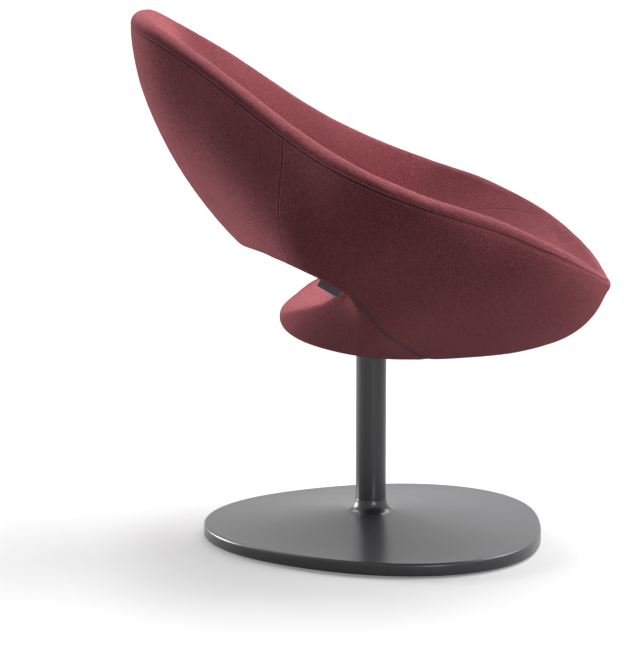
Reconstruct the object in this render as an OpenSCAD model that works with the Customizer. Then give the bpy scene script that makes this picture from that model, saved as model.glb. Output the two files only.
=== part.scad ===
// Swivel lounge chair: a moulded, fabric-covered tub on a single column and a low cast base.
// The origin is on the column's axis at the floor. Z is up, the sitter faces -Y,
// and the chair is the same on both sides of X = 0.

/* [Tub] */
// Height of the top of the back
back_top_h = 770; // [700:1:840]
// Distance from the column's axis back to the middle of the back's rolled rim
back_reach = 326; // [290:1:360]
// Distance from the column's axis forward to the middle of the front's rolled rim
front_reach = 332; // [290:1:370]
// Width between the middles of the arms' rolled rims at their widest
arm_w = 642; // [560:1:720]
// Height of the rim at the middle of the front
front_h = 391; // [360:1:420]
// Height of the underside of the seat at the column
under_h = 266; // [256:1:276]
// Radius of the rolled rim at the back and arms
rim_r = 16; // [12:0.5:20]
// Radius of the rolled rim at the middle of the front
rim_front_r = 12; // [9:0.5:16]

/* [Rear opening] */
// Height of the back's lower edge at the middle
edge_h = 437; // [415:1:455]
// Distance from the column's axis back to the back's lower outer edge
edge_reach = 195; // [180:1:215]
// Thickness of the back at its lower edge
edge_t = 50; // [40:1:60]
// Width between the outer corners of the opening
corner_w = 566; // [520:1:600]
// Distance from the column's axis back to the tip of the seat's tail
tail_reach = 134; // [118:1:142]
// Height of the tip of the seat's tail
tail_h = 327; // [318:1:340]

/* [Cover] */
// Thickness of the wool cover
cover_t = 2.5; // [1.5:0.1:3.5]
// Width of the zip across the underside
zip_w = 4; // [3:0.5:8]
// How far the zip's slider stands down
slider_t = 3; // [2:0.5:4]
// Length of the blank label tag
tag_l = 32; // [24:1:44]
// Depth of the label tag below the edge
tag_h = 10; // [8:1:16]
// Thickness of the label tag
tag_t = 1; // [0.6:0.1:1.6]

/* [Frame] */
// Diameter of the frame's tubes
frame_d = 14; // [10:1:16]
// Number of upright tubes in the back
strut_count = 5; // [3:2:7]
// Width of the back's elastic webbing
web_w = 44; // [30:1:60]
// Thickness of the webbing
web_t = 2; // [1.5:0.5:3]
// Number of webbing straps across the back
web_count = 3; // [2:1:3]
// Width of the plywood seat board
board_w = 236; // [210:2:244]
// Length of the plywood seat board
board_l = 226; // [200:2:240]
// Thickness of the seat board
board_t = 12; // [9:1:15]

/* [Swivel] */
// Outside diameter of the column
column_d = 44.5; // [40:0.5:50]
// Wall of the column
column_wall = 3; // [2:0.5:4]
// Height of the top of the column
column_top = 294; // [288:1:298]
// Diameter of the swivel spindle
spindle_d = 25; // [20:1:28]
// Running clearance around the spindle
run_gap = 0.08; // [0.04:0.01:0.1]
// Length of each bush
bush_l = 32; // [20:1:45]
// Distance from the column's top to the bottom of the spindle
spindle_l = 150; // [120:1:190]
// Side of the square swivel plate
plate_w = 140; // [120:1:150]
// Thickness of the swivel plate
plate_t = 5; // [4:0.5:7]
// Diameter of the seat screws
screw_d = 8; // [6:1:10]
// Distance between the seat screws, each way
screw_pitch = 104; // [90:1:114]

/* [Base] */
// Mean radius of the base's outline
base_r = 256; // [230:1:280]
// Height of the base's edge above the floor
edge_top = 21; // [18:0.5:26]
// Clearance under the base's edge
floor_gap = 3; // [2:0.5:5]
// Height of the base's top where it meets the column's fillet
crown_h = 37; // [32:0.5:44]
// Radius of the fillet at the foot of the column
foot_r = 18; // [12:1:26]
// Rounding of the base's top edge
edge_r = 4; // [2:0.5:6]
// Wall of the hollow casting
cast_t = 7; // [5:0.5:9]
// Width of the casting's flat rim underneath
flange_w = 30; // [24:1:36]
// Diameter of the floor glides
glide_d = 18; // [12:1:22]
// Number of floor glides
glide_count = 6; // [4:1:8]
// Diameter of the bolt that draws the column down
bolt_d = 12; // [10:1:16]

/* [Hidden] */
$fn = 64;
eps = 0.01;

// Swivel stack, from the column's top up
column_r = column_d / 2;
column_bore_r = column_r - column_wall;
flange_t = 2;
washer_t = 1.5;
plate_z = column_top + flange_t + washer_t;
board_z = plate_z + plate_t;
board_top = board_z + board_t;
board_y = tail_reach * 0.485 - board_l / 2;
board_corner = board_w * 0.28;
spindle_r = spindle_d / 2;
spindle_z = column_top - spindle_l;
ring_t = 2;
ring_gap = 0.3;
pocket_gap = 1;
cover_gap = 1.5;

// Foot of the column
socket_z = crown_h - 13;
boss_z = socket_z - 8;
boss_r = 28;
plug_l = 26;
bolt_r = bolt_d / 2;
bolt_washer_t = 2.5;
bolt_head_t = 7;

// Stations round half of the rim, from the middle of the back (0) to the middle of the front (9).
// Where a value is a share, it is of the driving size named beside it.
last_station = 9;
seam_station = 3;
// The seam between back and arm bows forward by this much of a station, and the skin's columns
// follow it for this many stations to either side
bow = 0.42;
bow_width = 1.8;
corner_station = 5;
front_seam_station = 7;
per_station = 3;
half_cols = last_station * per_station;
ring_cols = 2 * half_cols;
edge_in = edge_reach - edge_t;
// Reference lengths that the shares below multiply
back_rise = back_top_h - edge_h;
gap_rise = edge_h - under_h;
slot_rise = edge_h - tail_h;
tail_rise = tail_h - under_h;
under_run = tail_reach + front_reach * 0.254;

// Rim's top: half width as a share of arm_w / 2, forward place as a share of the reach behind
// or ahead of the column, and height as a share of the rise from the front to the top.
rim_shape = [
  [0.000, -1.000, 1.000], [0.355, -0.955, 0.968], [0.548, -0.690, 0.829], [0.763, -0.323, 0.606],
  [0.930, -0.060, 0.478], [1.000, 0.220, 0.377], [0.955, 0.520, 0.288], [0.845, 0.775, 0.176],
  [0.520, 0.945, 0.062], [0.000, 1.000, 0.000]
];
rim_top = [for (p = rim_shape) [
  p[0] * arm_w / 2,
  -p[1] * (p[1] < 0 ? back_reach : front_reach),
  front_h + p[2] * (back_top_h - front_h)
]];
rim_radius = [for (i = [0:last_station])
  let (share = max(0, i - 6) / (last_station - 6)) rim_r + (rim_front_r - rim_r) * share];
// Angle, from straight out, at which the roll runs into the inner face
roll_end = [150, 150, 152, 155, 155, 150, 138, 118, 100, 96];
// Angle of the rim seam above straight out, then how far below it the roll runs into the outer face
seam_turn = [0, 0, 0, 0, 0, 0, 0, 0, 8, 50];
tuck = [0, 0, 0, 0, 0, 0, 0, 6, 25, 42];
// Share of the outer face's length given to each degree of the roll
share_per_degree = 0.003;

// Lower outer edge of the back, then the line of the zip under the seat
cw = corner_w / 2;
zip_line = [
  [0, edge_reach, edge_h], [cw * 0.33, edge_reach * 0.938, edge_h + gap_rise * 0.03],
  [cw * 0.67, edge_reach * 0.785, edge_h + gap_rise * 0.052],
  [cw * 0.925, edge_reach * 0.54, edge_h - gap_rise * 0.005],
  [cw, edge_reach * 0.262, edge_h - gap_rise * 0.138],
  [cw * 0.965, edge_reach * 0.092, edge_h - gap_rise * 0.282],
  [cw * 0.785, -front_reach * 0.07, under_h + gap_rise * 0.39],
  [cw * 0.53, -front_reach * 0.163, under_h + gap_rise * 0.21],
  [cw * 0.265, -front_reach * 0.23, under_h + gap_rise * 0.0585],
  [0, -front_reach * 0.254, under_h]
];
// Direction of the outer face where it leaves that line
zip_lean = [
  [0, 0.70, 0.71], [0.20, 0.64, 0.74], [0.34, 0.47, 0.81], [0.28, 0.34, 0.90], [0.25, 0.02, 0.97],
  [0.42, -0.16, 0.89], [0.68, -0.36, 0.62], [0.66, -0.66, 0.36], [0.44, -0.88, 0.16], [0, -1, 0.01]
];
// Lower inner edge of the back, the corner of the opening, then the edge of the seat's tail
inner_line = [
  [0, edge_in, edge_h + slot_rise * 0.127], [cw * 0.31, edge_in * 0.938, edge_h + slot_rise * 0.145],
  [cw * 0.57, edge_in * 0.786, edge_h + slot_rise * 0.182],
  [cw * 0.76, edge_in * 0.503, edge_h + slot_rise * 0.073],
  [cw * 0.835, edge_in * 0.269, edge_h - slot_rise * 0.145],
  [cw * 0.855, edge_in * 0.179, edge_h - slot_rise * 0.4],
  [cw * 0.70, tail_reach * 0.478, tail_h + slot_rise * 0.34],
  [cw * 0.49, tail_reach * 0.769, tail_h + slot_rise * 0.173],
  [cw * 0.25, tail_reach * 0.94, tail_h + slot_rise * 0.045], [0, tail_reach, tail_h]
];
inner_lean = [
  [0, 0.55, 0.84], [0.02, 0.52, 0.85], [0.06, 0.42, 0.90], [0.10, 0.28, 0.95], [0.12, 0.10, 0.99],
  [0.14, 0.04, 0.99], [0.10, 0.10, 0.99], [0.06, 0.08, 1], [0.02, 0.04, 1], [0, 0, 1]
];
// Handle lengths of each section's curves: below the rim seam, above the zip line,
// below the zip line, below the inner line, above the inner line, and inside the roll
function behind(a, b, c, d, e, f) =
  [a * back_rise, b * back_rise, c * edge_t, d * edge_t, e * back_rise, f * back_rise];
function ahead(a, b, c, d, e, f) =
  [a * front_reach, b * front_reach, c * under_run, d * tail_rise, e * front_reach, f * front_reach];
handles = [
  behind(0.33, 0.354, 0.4, 0.36, 0.27, 0.315), behind(0.312, 0.342, 0.4, 0.36, 0.264, 0.3),
  behind(0.276, 0.312, 0.4, 0.36, 0.252, 0.276), behind(0.192, 0.234, 0.36, 0.32, 0.21, 0.186),
  behind(0.168, 0.186, 0.29, 0.22, 0.186, 0.168), behind(0.162, 0.186, 0.28, 0.16, 0.156, 0.18),
  ahead(0.169, 0.278, 0.22, 0.36, 0.105, 0.332), ahead(0.155, 0.454, 0.339, 0.57, 0.115, 0.574),
  ahead(0.124, 0.706, 0.413, 0.68, 0.125, 0.792), ahead(0.083, 0.76, 0.45, 0.76, 0.155, 0.906)
];
// Share of the inner face, from the inner line up, that lies below the seat seam
seat_share = [0.5, 0.5, 0.5, 0.4, 0.22, 0.16, 0.8, 0.975, 0.96, 0.96];

outer_rows = 7;
zip_rows = 1;
under_rows = 5;
seat_rows = 4;
arm_rows = 3;
roll_rows = 4;
row_zip = outer_rows;
row_under = row_zip + zip_rows;
row_inner = row_under + under_rows;
row_arm = row_inner + seat_rows;
row_roll = row_arm + arm_rows;
rows = row_roll + roll_rows;

function unit(v) = v / norm(v);
function flip(v) = is_list(v) && len(v) == 3 ? [-v[0], v[1], v[2]] : v;
function at(list, i) = i < 0 ? flip(list[-i]) : i > last_station ? flip(list[2 * last_station - i])
  : list[i];
function spline(a, b, c, d, t) =
  0.5 * (2 * b + (c - a) * t + (2 * a - 5 * b + 4 * c - d) * t * t
         + (3 * b - a - 3 * c + d) * t * t * t);
function along(list, s) =
  let (i = min(floor(s), last_station - 1), t = s - i)
  spline(at(list, i - 1), at(list, i), at(list, i + 1), at(list, i + 2), t);
function bezier(a, b, c, d, t) =
  let (u = 1 - t) u * u * u * a + 3 * u * u * t * b + 3 * u * t * t * c + t * t * t * d;

// Outward direction of the rim in plan
function rim_out(s) =
  let (e = 0.02, a = along(rim_top, max(0, s - e)), b = along(rim_top, min(last_station, s + e)),
       d = unit([b[0] - a[0], b[1] - a[1]]))
  s < e ? [0, 1, 0] : s > last_station - e ? [0, -1, 0] : [-d[1], d[0], 0];
function roll_point(s, angle) =
  let (r = along(rim_radius, s), c = along(rim_top, s) - [0, 0, r])
  c + r * (cos(angle) * rim_out(s) + [0, 0, sin(angle)]);
function roll_down(s, angle) = -sin(angle) * rim_out(s) + [0, 0, cos(angle)];

// One point of the tub's skin: s is the station, row counts round the section from the rim seam
function outer_curve(s, t) =
  let (h = along(handles, s), top = along(seam_turn, s), low = -along(tuck, s),
       share = share_per_degree * (top - low), a = roll_point(s, low), d = along(zip_line, s))
  share > 0 && t < share ? roll_point(s, top - (top - low) * t / share)
  : bezier(a, a - h[0] * roll_down(s, low), d + h[1] * unit(along(zip_lean, s)), d,
           (t - share) / (1 - share));
function under_curve(s, t) =
  let (h = along(handles, s), a = along(zip_line, s), d = along(inner_line, s))
  bezier(a, a - h[2] * unit(along(zip_lean, s)), d - h[3] * unit(along(inner_lean, s)), d, t);
function inner_curve(s, t) =
  let (h = along(handles, s), e = along(roll_end, s), a = along(inner_line, s),
       d = roll_point(s, e))
  bezier(a, a + h[4] * unit(along(inner_lean, s)), d + h[5] * roll_down(s, e), d, t);
function zip_share(s) = zip_w / 2 / norm(under_curve(s, 0.5) - under_curve(s, 0)) / 2;
function outer_share(s) = zip_w / 2 / norm(outer_curve(s, 0.9) - outer_curve(s, 1)) / 10;
// The seam between back and arm bows forward on the inner face, and the skin's columns follow it
function bowed(s, share) = let (d = (s - seam_station) / bow_width)
  s + bow * pow(4 * share * (1 - share), 1.3) * pow(max(0, 1 - d * d), 2);
function face_point(s, share) = inner_curve(bowed(s, share), share);
// Rows crowd towards the turn at the inner line
function skin_half(s, row) =
  row <= row_zip ? outer_curve(s, (1 - outer_share(s)) * row / outer_rows)
  : row <= row_inner ? let (z = zip_share(s))
      under_curve(s, z + (1 - z) * (1 - pow(1 - (row - row_under) / under_rows, 1.35)))
  : row <= row_arm ? face_point(s, along(seat_share, s) * pow((row - row_inner) / seat_rows, 1.5))
  : row <= row_roll ? let (f = along(seat_share, s))
      face_point(s, f + (1 - f) * (row - row_arm) / arm_rows)
  : let (a = along(seam_turn, s))
      roll_point(s, a + (along(roll_end, s) - a) * (rows - row) / roll_rows);

half_skin = [for (j = [0:half_cols]) [for (k = [0:rows - 1]) skin_half(j / per_station, k)]];
// Columns run right round the rim: the right half forward, then the left half back
skin = [for (j = [0:ring_cols - 1]) j <= half_cols ? half_skin[j]
  : [for (p = half_skin[ring_cols - j]) flip(p)]];
function wrap(j, n) = (j % n + n) % n;
function skin_normal(j, k) =
  let (a = skin[wrap(j + 1, ring_cols)][k] - skin[wrap(j - 1, ring_cols)][k],
       b = skin[j][wrap(k + 1, rows)] - skin[j][wrap(k - 1, rows)])
  unit(cross(a, b));
foam = [for (j = [0:ring_cols - 1]) [for (k = [0:rows - 1]) skin[j][k] - cover_t * skin_normal(j, k)]];

// Which panel of the cover each cell of the skin belongs to
function cell_station(j) = (j < half_cols ? j + 0.5 : ring_cols - j - 0.5) / per_station;
function panel(j, k) =
  let (s = cell_station(j), at_back = s < seam_station, at_edge = s < corner_station,
       at_arm = s < front_seam_station, left = j < half_cols)
  k < row_zip ? (at_back ? "outer_back" : "outer_band")
  : k < row_inner ? (at_back ? "outer_back" : at_edge ? "outer_band"
                     : k < row_under ? "zip" : "under")
  : at_back ? "inner_back"
  : at_edge || (at_arm && k >= row_arm) ? (left ? "arm_left" : "arm_right") : "seat";

// Two triangles of a quad, always cut from a to c, seen clockwise from outside when turned
function quad(a, b, c, d, turned) = turned ? [[a, c, b], [a, d, c]] : [[a, b, c], [a, c, d]];
function id(j, k) = wrap(j, ring_cols) * rows + wrap(k, rows);

// A closed sheet between two grids over the cells of the skin that the test list marks
module sheet_solid(lower, upper, marked) {
  base = ring_cols * rows;
  pts = concat([for (c = upper) each c], [for (c = lower) each c]);
  faces = [for (j = [0:ring_cols - 1]) for (k = [0:rows - 1]) if (marked[j][k])
    let (a = id(j, k), b = id(j + 1, k), c = id(j + 1, k + 1), d = id(j, k + 1),
         before = marked[wrap(j - 1, ring_cols)][k], after = marked[wrap(j + 1, ring_cols)][k],
         above = marked[j][wrap(k - 1, rows)], below = marked[j][wrap(k + 1, rows)])
    each concat(
      quad(a, b, c, d, true), quad(base + a, base + b, base + c, base + d, false),
      before ? [] : quad(a, d, base + d, base + a, true),
      after ? [] : quad(b, base + b, base + c, c, true),
      above ? [] : quad(a, base + a, base + b, b, true),
      below ? [] : quad(d, c, base + c, base + d, true))];
  polyhedron(pts, faces, convexity = 8);
}
module cover_panel(name) {
  sheet_solid(foam, skin, [for (j = [0:ring_cols - 1]) [for (k = [0:rows - 1]) panel(j, k) == name]]);
}

// A length of the foam core with a ladder of faces across each cut end
module foam_solid(marked_back) {
  top = rows - 2;
  ladder = [for (i = [0:rows / 2]) [wrap(top - i, rows), wrap(top + i, rows)]];
  cut = seam_station * per_station;
  cols = marked_back ? [for (j = [-cut:cut - 1]) wrap(j, ring_cols)]
    : [cut:ring_cols - cut - 1];
  function rung(j, forward) = [for (i = [0:len(ladder) - 2])
    let (a = id(j, ladder[i][0]), b = id(j, ladder[i][1]),
         c = id(j, ladder[i + 1][1]), d = id(j, ladder[i + 1][0]))
    each (a == b ? (forward ? [[a, d, c]] : [[a, c, d]])
      : c == d ? (forward ? [[a, c, b]] : [[a, b, c]]) : quad(a, b, c, d, forward))];
  faces = concat(
    [for (j = cols) for (k = [0:rows - 1])
      each quad(id(j, k), id(j + 1, k), id(j + 1, k + 1), id(j, k + 1), true)],
    rung(cut, !marked_back), rung(ring_cols - cut, marked_back));
  polyhedron([for (c = foam) each c], faces, convexity = 8);
}

// Frame in the core of the foam
frame_r = frame_d / 2;
tube_sides = 8;
rail_z = board_top + frame_r;
function core(s, f) = (outer_curve(s, 1 - f) + inner_curve(s, f)) / 2;
function rim_core(s) = along(rim_top, s) - [0, 0, along(rim_radius, s) + 1];
function edge_core(s) = (along(zip_line, s) + along(inner_line, s)) / 2 + [0, 0, frame_r + 7];
function mirrored(list) = concat(list, [for (i = [len(list) - 2:-1:0]) flip(list[i])]);
function smooth_path(list, n) = concat([for (i = [0:len(list) - 2]) for (t = [0:n - 1])
  spline(list[max(0, i - 1)], list[i], list[i + 1], list[min(len(list) - 1, i + 2)], t / n)],
  [list[len(list) - 1]]);

// A round tube along a path, open paths closed by flat ends
module swept_tube(path, r, sides, closed = false, ref = [0, 0, 1]) {
  n = len(path);
  function dir(i) = unit(path[closed ? (i + 1) % n : min(i + 1, n - 1)]
                         - path[closed ? (i + n - 1) % n : max(i - 1, 0)]);
  rings = [for (i = [0:n - 1]) let (d = dir(i), u = unit(cross(d, ref)), v = cross(u, d))
    for (a = [0:sides - 1]) path[i] + r * (cos(a * 360 / sides) * u + sin(a * 360 / sides) * v)];
  last = closed ? n - 1 : n - 2;
  polyhedron(rings, concat(
    [for (i = [0:last]) for (a = [0:sides - 1])
      let (b = (a + 1) % sides, i2 = (i + 1) % n)
      each quad(i * sides + a, i * sides + b, i2 * sides + b, i2 * sides + a, false)],
    closed ? [] : [[for (a = [sides - 1:-1:0]) a], [for (a = [0:sides - 1]) (n - 1) * sides + a]]),
    convexity = 8);
}

function ring(half) = concat(half, [for (i = [len(half) - 2:-1:1]) flip(half[i])]);
rim_loop = ring([for (s = [0:0.5:last_station]) rim_core(s)]);
// The lower hoop follows the back's edge, dips at the corners and crosses on top of the board
rail_x = board_w / 2 - 6;
back_rail_y = board_y + board_l * 0.363;
front_rail_y = board_y - board_l * 0.257;
rail_lift = 2;
rail_bend = 30;
hoop_loop = ring(concat([for (s = [0:0.5:3.5]) edge_core(s)],
  smooth_path([edge_core(4), [cw * 0.93, 0, edge_h - gap_rise * 0.222],
    [cw * 0.80, -6, edge_h - gap_rise * 0.398], [cw * 0.60, 16, rail_z + frame_d * 1.15],
    [rail_x, back_rail_y - 4, rail_z + rail_lift],
    [rail_x - rail_bend, back_rail_y, rail_z]], 2), [[0, back_rail_y, rail_z]]));
front_rail = mirrored(concat(smooth_path([rim_core(6.4), core(6.4, 0.84), core(6.4, 0.62),
  [rail_x + frame_d * 2.7, front_rail_y - 4, rail_z + frame_d * 1.2],
  [rail_x, front_rail_y, rail_z + rail_lift],
  [rail_x - rail_bend, front_rail_y, rail_z]], 2), [[0, front_rail_y, rail_z]]));
strut_stations = [for (i = [0:strut_count - 1]) seam_station * (2 * i / (strut_count - 1) - 1)];
function on_side(p, s) = s < 0 ? flip(p) : p;
function strut_path(s) = let (a = abs(s))
  [for (p = concat([edge_core(a)], [for (f = [0.2:0.15:0.81]) core(a, f)], [rim_core(a)]))
    on_side(p, s)];
weld_r = frame_r + 1.5;

// A bead of weld along the first millimetres of a tube
module weld(a, b) {
  hull() {
    translate(a) sphere(r = weld_r, $fn = 8);
    translate(a + weld_r * unit(b - a)) sphere(r = frame_r, $fn = 8);
  }
}
module frame() {
  color([0.25, 0.26, 0.28]) {
    swept_tube(rim_loop, frame_r, tube_sides, closed = true);
    swept_tube(hoop_loop, frame_r, tube_sides, closed = true);
    swept_tube(front_rail, frame_r, tube_sides, ref = [0, 1, 0.2]);
    for (s = strut_stations) {
      path = strut_path(s);
      swept_tube(path, frame_r, tube_sides, ref = [1, 0, 0]);
      weld(path[0], path[1]);
      weld(path[len(path) - 1], path[len(path) - 2]);
    }
    weld(front_rail[0], front_rail[1]);
    weld(flip(front_rail[0]), flip(front_rail[1]));
  }
}

// Saddles hold the two rails down on the board
saddle_t = 2.5;
saddle_w = 20;
saddle_tab = 14;
saddle_screw_r = 2.5;
saddle_inset = 40;
saddle_x = rail_x - saddle_inset;
saddle_places = [for (x = [-saddle_x, saddle_x]) for (y = [back_rail_y, front_rail_y]) [x, y]];
module at_saddles() { for (p = saddle_places) translate([p[0], p[1], board_top]) children(); }
module saddle_profile() {
  r = frame_r + ring_gap;
  difference() {
    union() {
      translate([0, frame_r]) circle(r = r + saddle_t);
      translate([-r - saddle_t, 0]) square([2 * (r + saddle_t), frame_r]);
      translate([-r - saddle_tab, 0]) square([2 * (r + saddle_tab), saddle_t]);
    }
    translate([0, frame_r]) circle(r = r);
    translate([-r, -eps]) square([2 * r, frame_r + eps]);
    translate([-2 * r - saddle_tab, -4 * r]) square([4 * (r + saddle_tab), 4 * r]);
  }
}
saddle_hole_y = frame_r + ring_gap + saddle_tab / 2 + 1;
module frame_saddles() {
  color([0.70, 0.71, 0.73]) at_saddles() difference() {
    translate([-saddle_w / 2, 0, 0]) rotate([90, 0, 90]) linear_extrude(saddle_w) saddle_profile();
    for (y = [-saddle_hole_y, saddle_hole_y])
      translate([0, y, -1]) cylinder(r = saddle_screw_r, h = saddle_t + 2);
  }
}
module saddle_screws() {
  color([0.75, 0.76, 0.78]) at_saddles() for (y = [-saddle_hole_y, saddle_hole_y]) translate([0, y, 0]) {
    translate([0, 0, saddle_t - board_t + 2]) cylinder(r = saddle_screw_r, h = board_t - 2);
    translate([0, 0, saddle_t]) cylinder(r = saddle_screw_r * 1.8, h = 2);
  }
}

// Rounded plates lie in the XY plane from z = 0 up
module rounded_plate(w, l, t, r) {
  linear_extrude(t) union() {
    square([w - 2 * r, l], center = true);
    square([w, l - 2 * r], center = true);
    for (x = [-w / 2 + r, w / 2 - r]) for (y = [-l / 2 + r, l / 2 - r]) translate([x, y]) circle(r = r);
  }
}
module at_seat_screws() {
  for (x = [-screw_pitch / 2, screw_pitch / 2]) for (y = [-screw_pitch / 2, screw_pitch / 2])
    translate([x, y, 0]) children();
}
screw_r = screw_d / 2;
tee_r = screw_r + 1.5;
tee_flange_r = screw_r + 7;
tee_flange_t = 1.5;
plate_corner = 14;
module board_shape() {
  translate([0, board_y, board_z]) rounded_plate(board_w, board_l, board_t, board_corner);
}
module seat_board() {
  color([0.80, 0.66, 0.45]) difference() {
    board_shape();
    at_seat_screws() {
      translate([0, 0, board_z - 1]) cylinder(r = tee_r, h = board_t + 2);
      translate([0, 0, board_top - tee_flange_t]) cylinder(r = tee_flange_r, h = tee_flange_t + 1);
    }
    at_saddles() for (y = [-saddle_hole_y, saddle_hole_y]) translate([0, y, saddle_t - board_t + 2])
      cylinder(r = saddle_screw_r, h = board_t);
  }
}
module tee_nuts() {
  color([0.72, 0.72, 0.70]) at_seat_screws() difference() {
    union() {
      translate([0, 0, board_z]) cylinder(r = tee_r, h = board_t);
      translate([0, 0, board_top - tee_flange_t]) cylinder(r = tee_flange_r, h = tee_flange_t);
    }
    translate([0, 0, board_z - 1]) cylinder(r = screw_r, h = board_t + 2);
  }
}
screw_head_t = 4.5;
screw_head_r = screw_r * 1.8;
module seat_screws() {
  color([0.30, 0.30, 0.32]) at_seat_screws() {
    translate([0, 0, plate_z - screw_head_t]) cylinder(r = screw_head_r, h = screw_head_t);
    translate([0, 0, plate_z - eps]) cylinder(r = screw_r, h = plate_t + board_t - 1);
  }
}
module swivel_plate() {
  color([0.20, 0.20, 0.21]) difference() {
    translate([0, 0, plate_z]) rounded_plate(plate_w, plate_w, plate_t, plate_corner);
    translate([0, 0, plate_z - 1]) cylinder(r = spindle_r, h = plate_t + 2);
    at_seat_screws() translate([0, 0, plate_z - 1]) cylinder(r = screw_r, h = plate_t + 2);
  }
}
groove_z = spindle_z + 12;
module spindle() {
  color([0.62, 0.63, 0.65]) difference() {
    translate([0, 0, spindle_z]) cylinder(r = spindle_r, h = board_z - spindle_z);
    translate([0, 0, groove_z]) difference() {
      cylinder(r = spindle_r + 1, h = ring_t);
      translate([0, 0, -1]) cylinder(r = spindle_r - 1, h = ring_t + 2);
    }
  }
}
module retaining_ring() {
  color([0.35, 0.35, 0.36]) translate([0, 0, groove_z]) difference() {
    cylinder(r = spindle_r + 3.5, h = ring_t);
    translate([0, 0, -1]) cylinder(r = spindle_r - 1, h = ring_t + 2);
    translate([0, -3, -1]) cube([spindle_d, 6, ring_t + 2]);
  }
}
module bush(z, flange) {
  translate([0, 0, z]) difference() {
    union() {
      cylinder(r = column_bore_r, h = bush_l);
      if (flange) translate([0, 0, bush_l]) cylinder(r = column_r - 1, h = flange_t);
    }
    translate([0, 0, -1]) cylinder(r = spindle_r + run_gap, h = bush_l + flange_t + 2);
  }
}
module lower_bush() { color([0.90, 0.88, 0.80]) bush(groove_z + ring_t + ring_gap, false); }
module upper_bush() { color([0.90, 0.88, 0.80]) bush(column_top - bush_l, true); }
module thrust_washer() {
  color([0.66, 0.67, 0.69]) translate([0, 0, column_top + flange_t]) difference() {
    cylinder(r = column_r - 1, h = washer_t);
    translate([0, 0, -1]) cylinder(r = spindle_r + run_gap, h = washer_t + 2);
  }
}
module column_tube() {
  color([0.11, 0.115, 0.12]) translate([0, 0, socket_z]) difference() {
    cylinder(r = column_r, h = column_top - socket_z);
    translate([0, 0, -1]) cylinder(r = column_bore_r, h = column_top - socket_z + 2);
  }
}
module column_plug() {
  color([0.45, 0.46, 0.48]) translate([0, 0, socket_z]) difference() {
    cylinder(r = column_bore_r, h = plug_l);
    translate([0, 0, -1]) cylinder(r = bolt_r, h = plug_l + 2);
  }
}
module bolt_washer() {
  color([0.60, 0.61, 0.63]) translate([0, 0, boss_z - bolt_washer_t]) difference() {
    cylinder(r = bolt_r * 2, h = bolt_washer_t);
    translate([0, 0, -1]) cylinder(r = bolt_r + 0.5, h = bolt_washer_t + 2);
  }
}
module column_bolt() {
  color([0.40, 0.41, 0.43]) {
    translate([0, 0, boss_z - bolt_washer_t - bolt_head_t])
      linear_extrude(bolt_head_t) polygon([for (a = [0:60:300]) bolt_r * 1.7 * [cos(a), sin(a)]]);
    translate([0, 0, boss_z - bolt_washer_t - eps])
      cylinder(r = bolt_r, h = socket_z + plug_l - 4 - boss_z + bolt_washer_t);
  }
}

// The base's outline: a rounded pick, blunt ahead and narrower behind
function base_outline(a) =
  base_r * (1 + 0.061 * cos(a) - 0.018 * cos(2 * a) - 0.053 * cos(3 * a) - 0.012 * cos(4 * a));
base_sides = 72;
function base_top(f) = edge_top + (crown_h - edge_top) * pow(1 - f, 1.5);
// Rings of the casting from the middle of its underside, out, over and in to the column:
// share of the outline, radius added, and height
hollow_shares = [0, 0.2, 0.5, 0.8];
top_shares = [0.84, 0.62, 0.4, 0.2, 0.08];
lip_w = 0.8;
inner_r = column_r + lip_w + foot_r;
base_rings = concat(
  [[0, boss_r, boss_z]],
  [for (f = hollow_shares) [f, (boss_r + 3) * (1 - f) - (flange_w + 4) * f, base_top(f) - cast_t]],
  [[1, -flange_w - 4, base_top(1) - cast_t], [1, -flange_w, floor_gap], [1, -2, floor_gap],
   [1, 0, floor_gap + 2]],
  [for (a = [0:30:90]) [1, edge_r * (cos(a) - 1), edge_top - edge_r + edge_r * sin(a)]],
  [for (f = top_shares) [f, inner_r * (1 - f) - edge_r * f, base_top(f)]],
  [for (a = [0:22.5:90]) [0, inner_r - foot_r * sin(a), crown_h + foot_r * (1 - cos(a))]]);
module base_casting() {
  n = base_sides;
  count = len(base_rings);
  pts = [for (r = base_rings) for (i = [0:n - 1]) let (a = i * 360 / n,
    q = r[0] * base_outline(a) + r[1]) [q * sin(a), -q * cos(a), r[2]]];
  faces = concat([[for (i = [0:n - 1]) i]],
    [for (r = [0:count - 2]) for (i = [0:n - 1]) let (j = (i + 1) % n)
      each quad(r * n + i, r * n + j, (r + 1) * n + j, (r + 1) * n + i, true)],
    [[for (i = [n - 1:-1:0]) (count - 1) * n + i]]);
  color([0.11, 0.115, 0.12]) difference() {
    polyhedron(pts, faces, convexity = 6);
    translate([0, 0, socket_z]) cylinder(r = column_r, h = crown_h + foot_r);
    translate([0, 0, boss_z - 1]) cylinder(r = bolt_r + 0.5, h = socket_z - boss_z + 2);
  }
}
module floor_glides() {
  color([0.05, 0.05, 0.05]) for (i = [0:glide_count - 1]) let (a = i * 360 / glide_count,
    q = base_outline(a) - flange_w + glide_d / 2 + 1) translate([q * sin(a), -q * cos(a), 0])
    cylinder(r = glide_d / 2, h = floor_gap);
}

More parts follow.
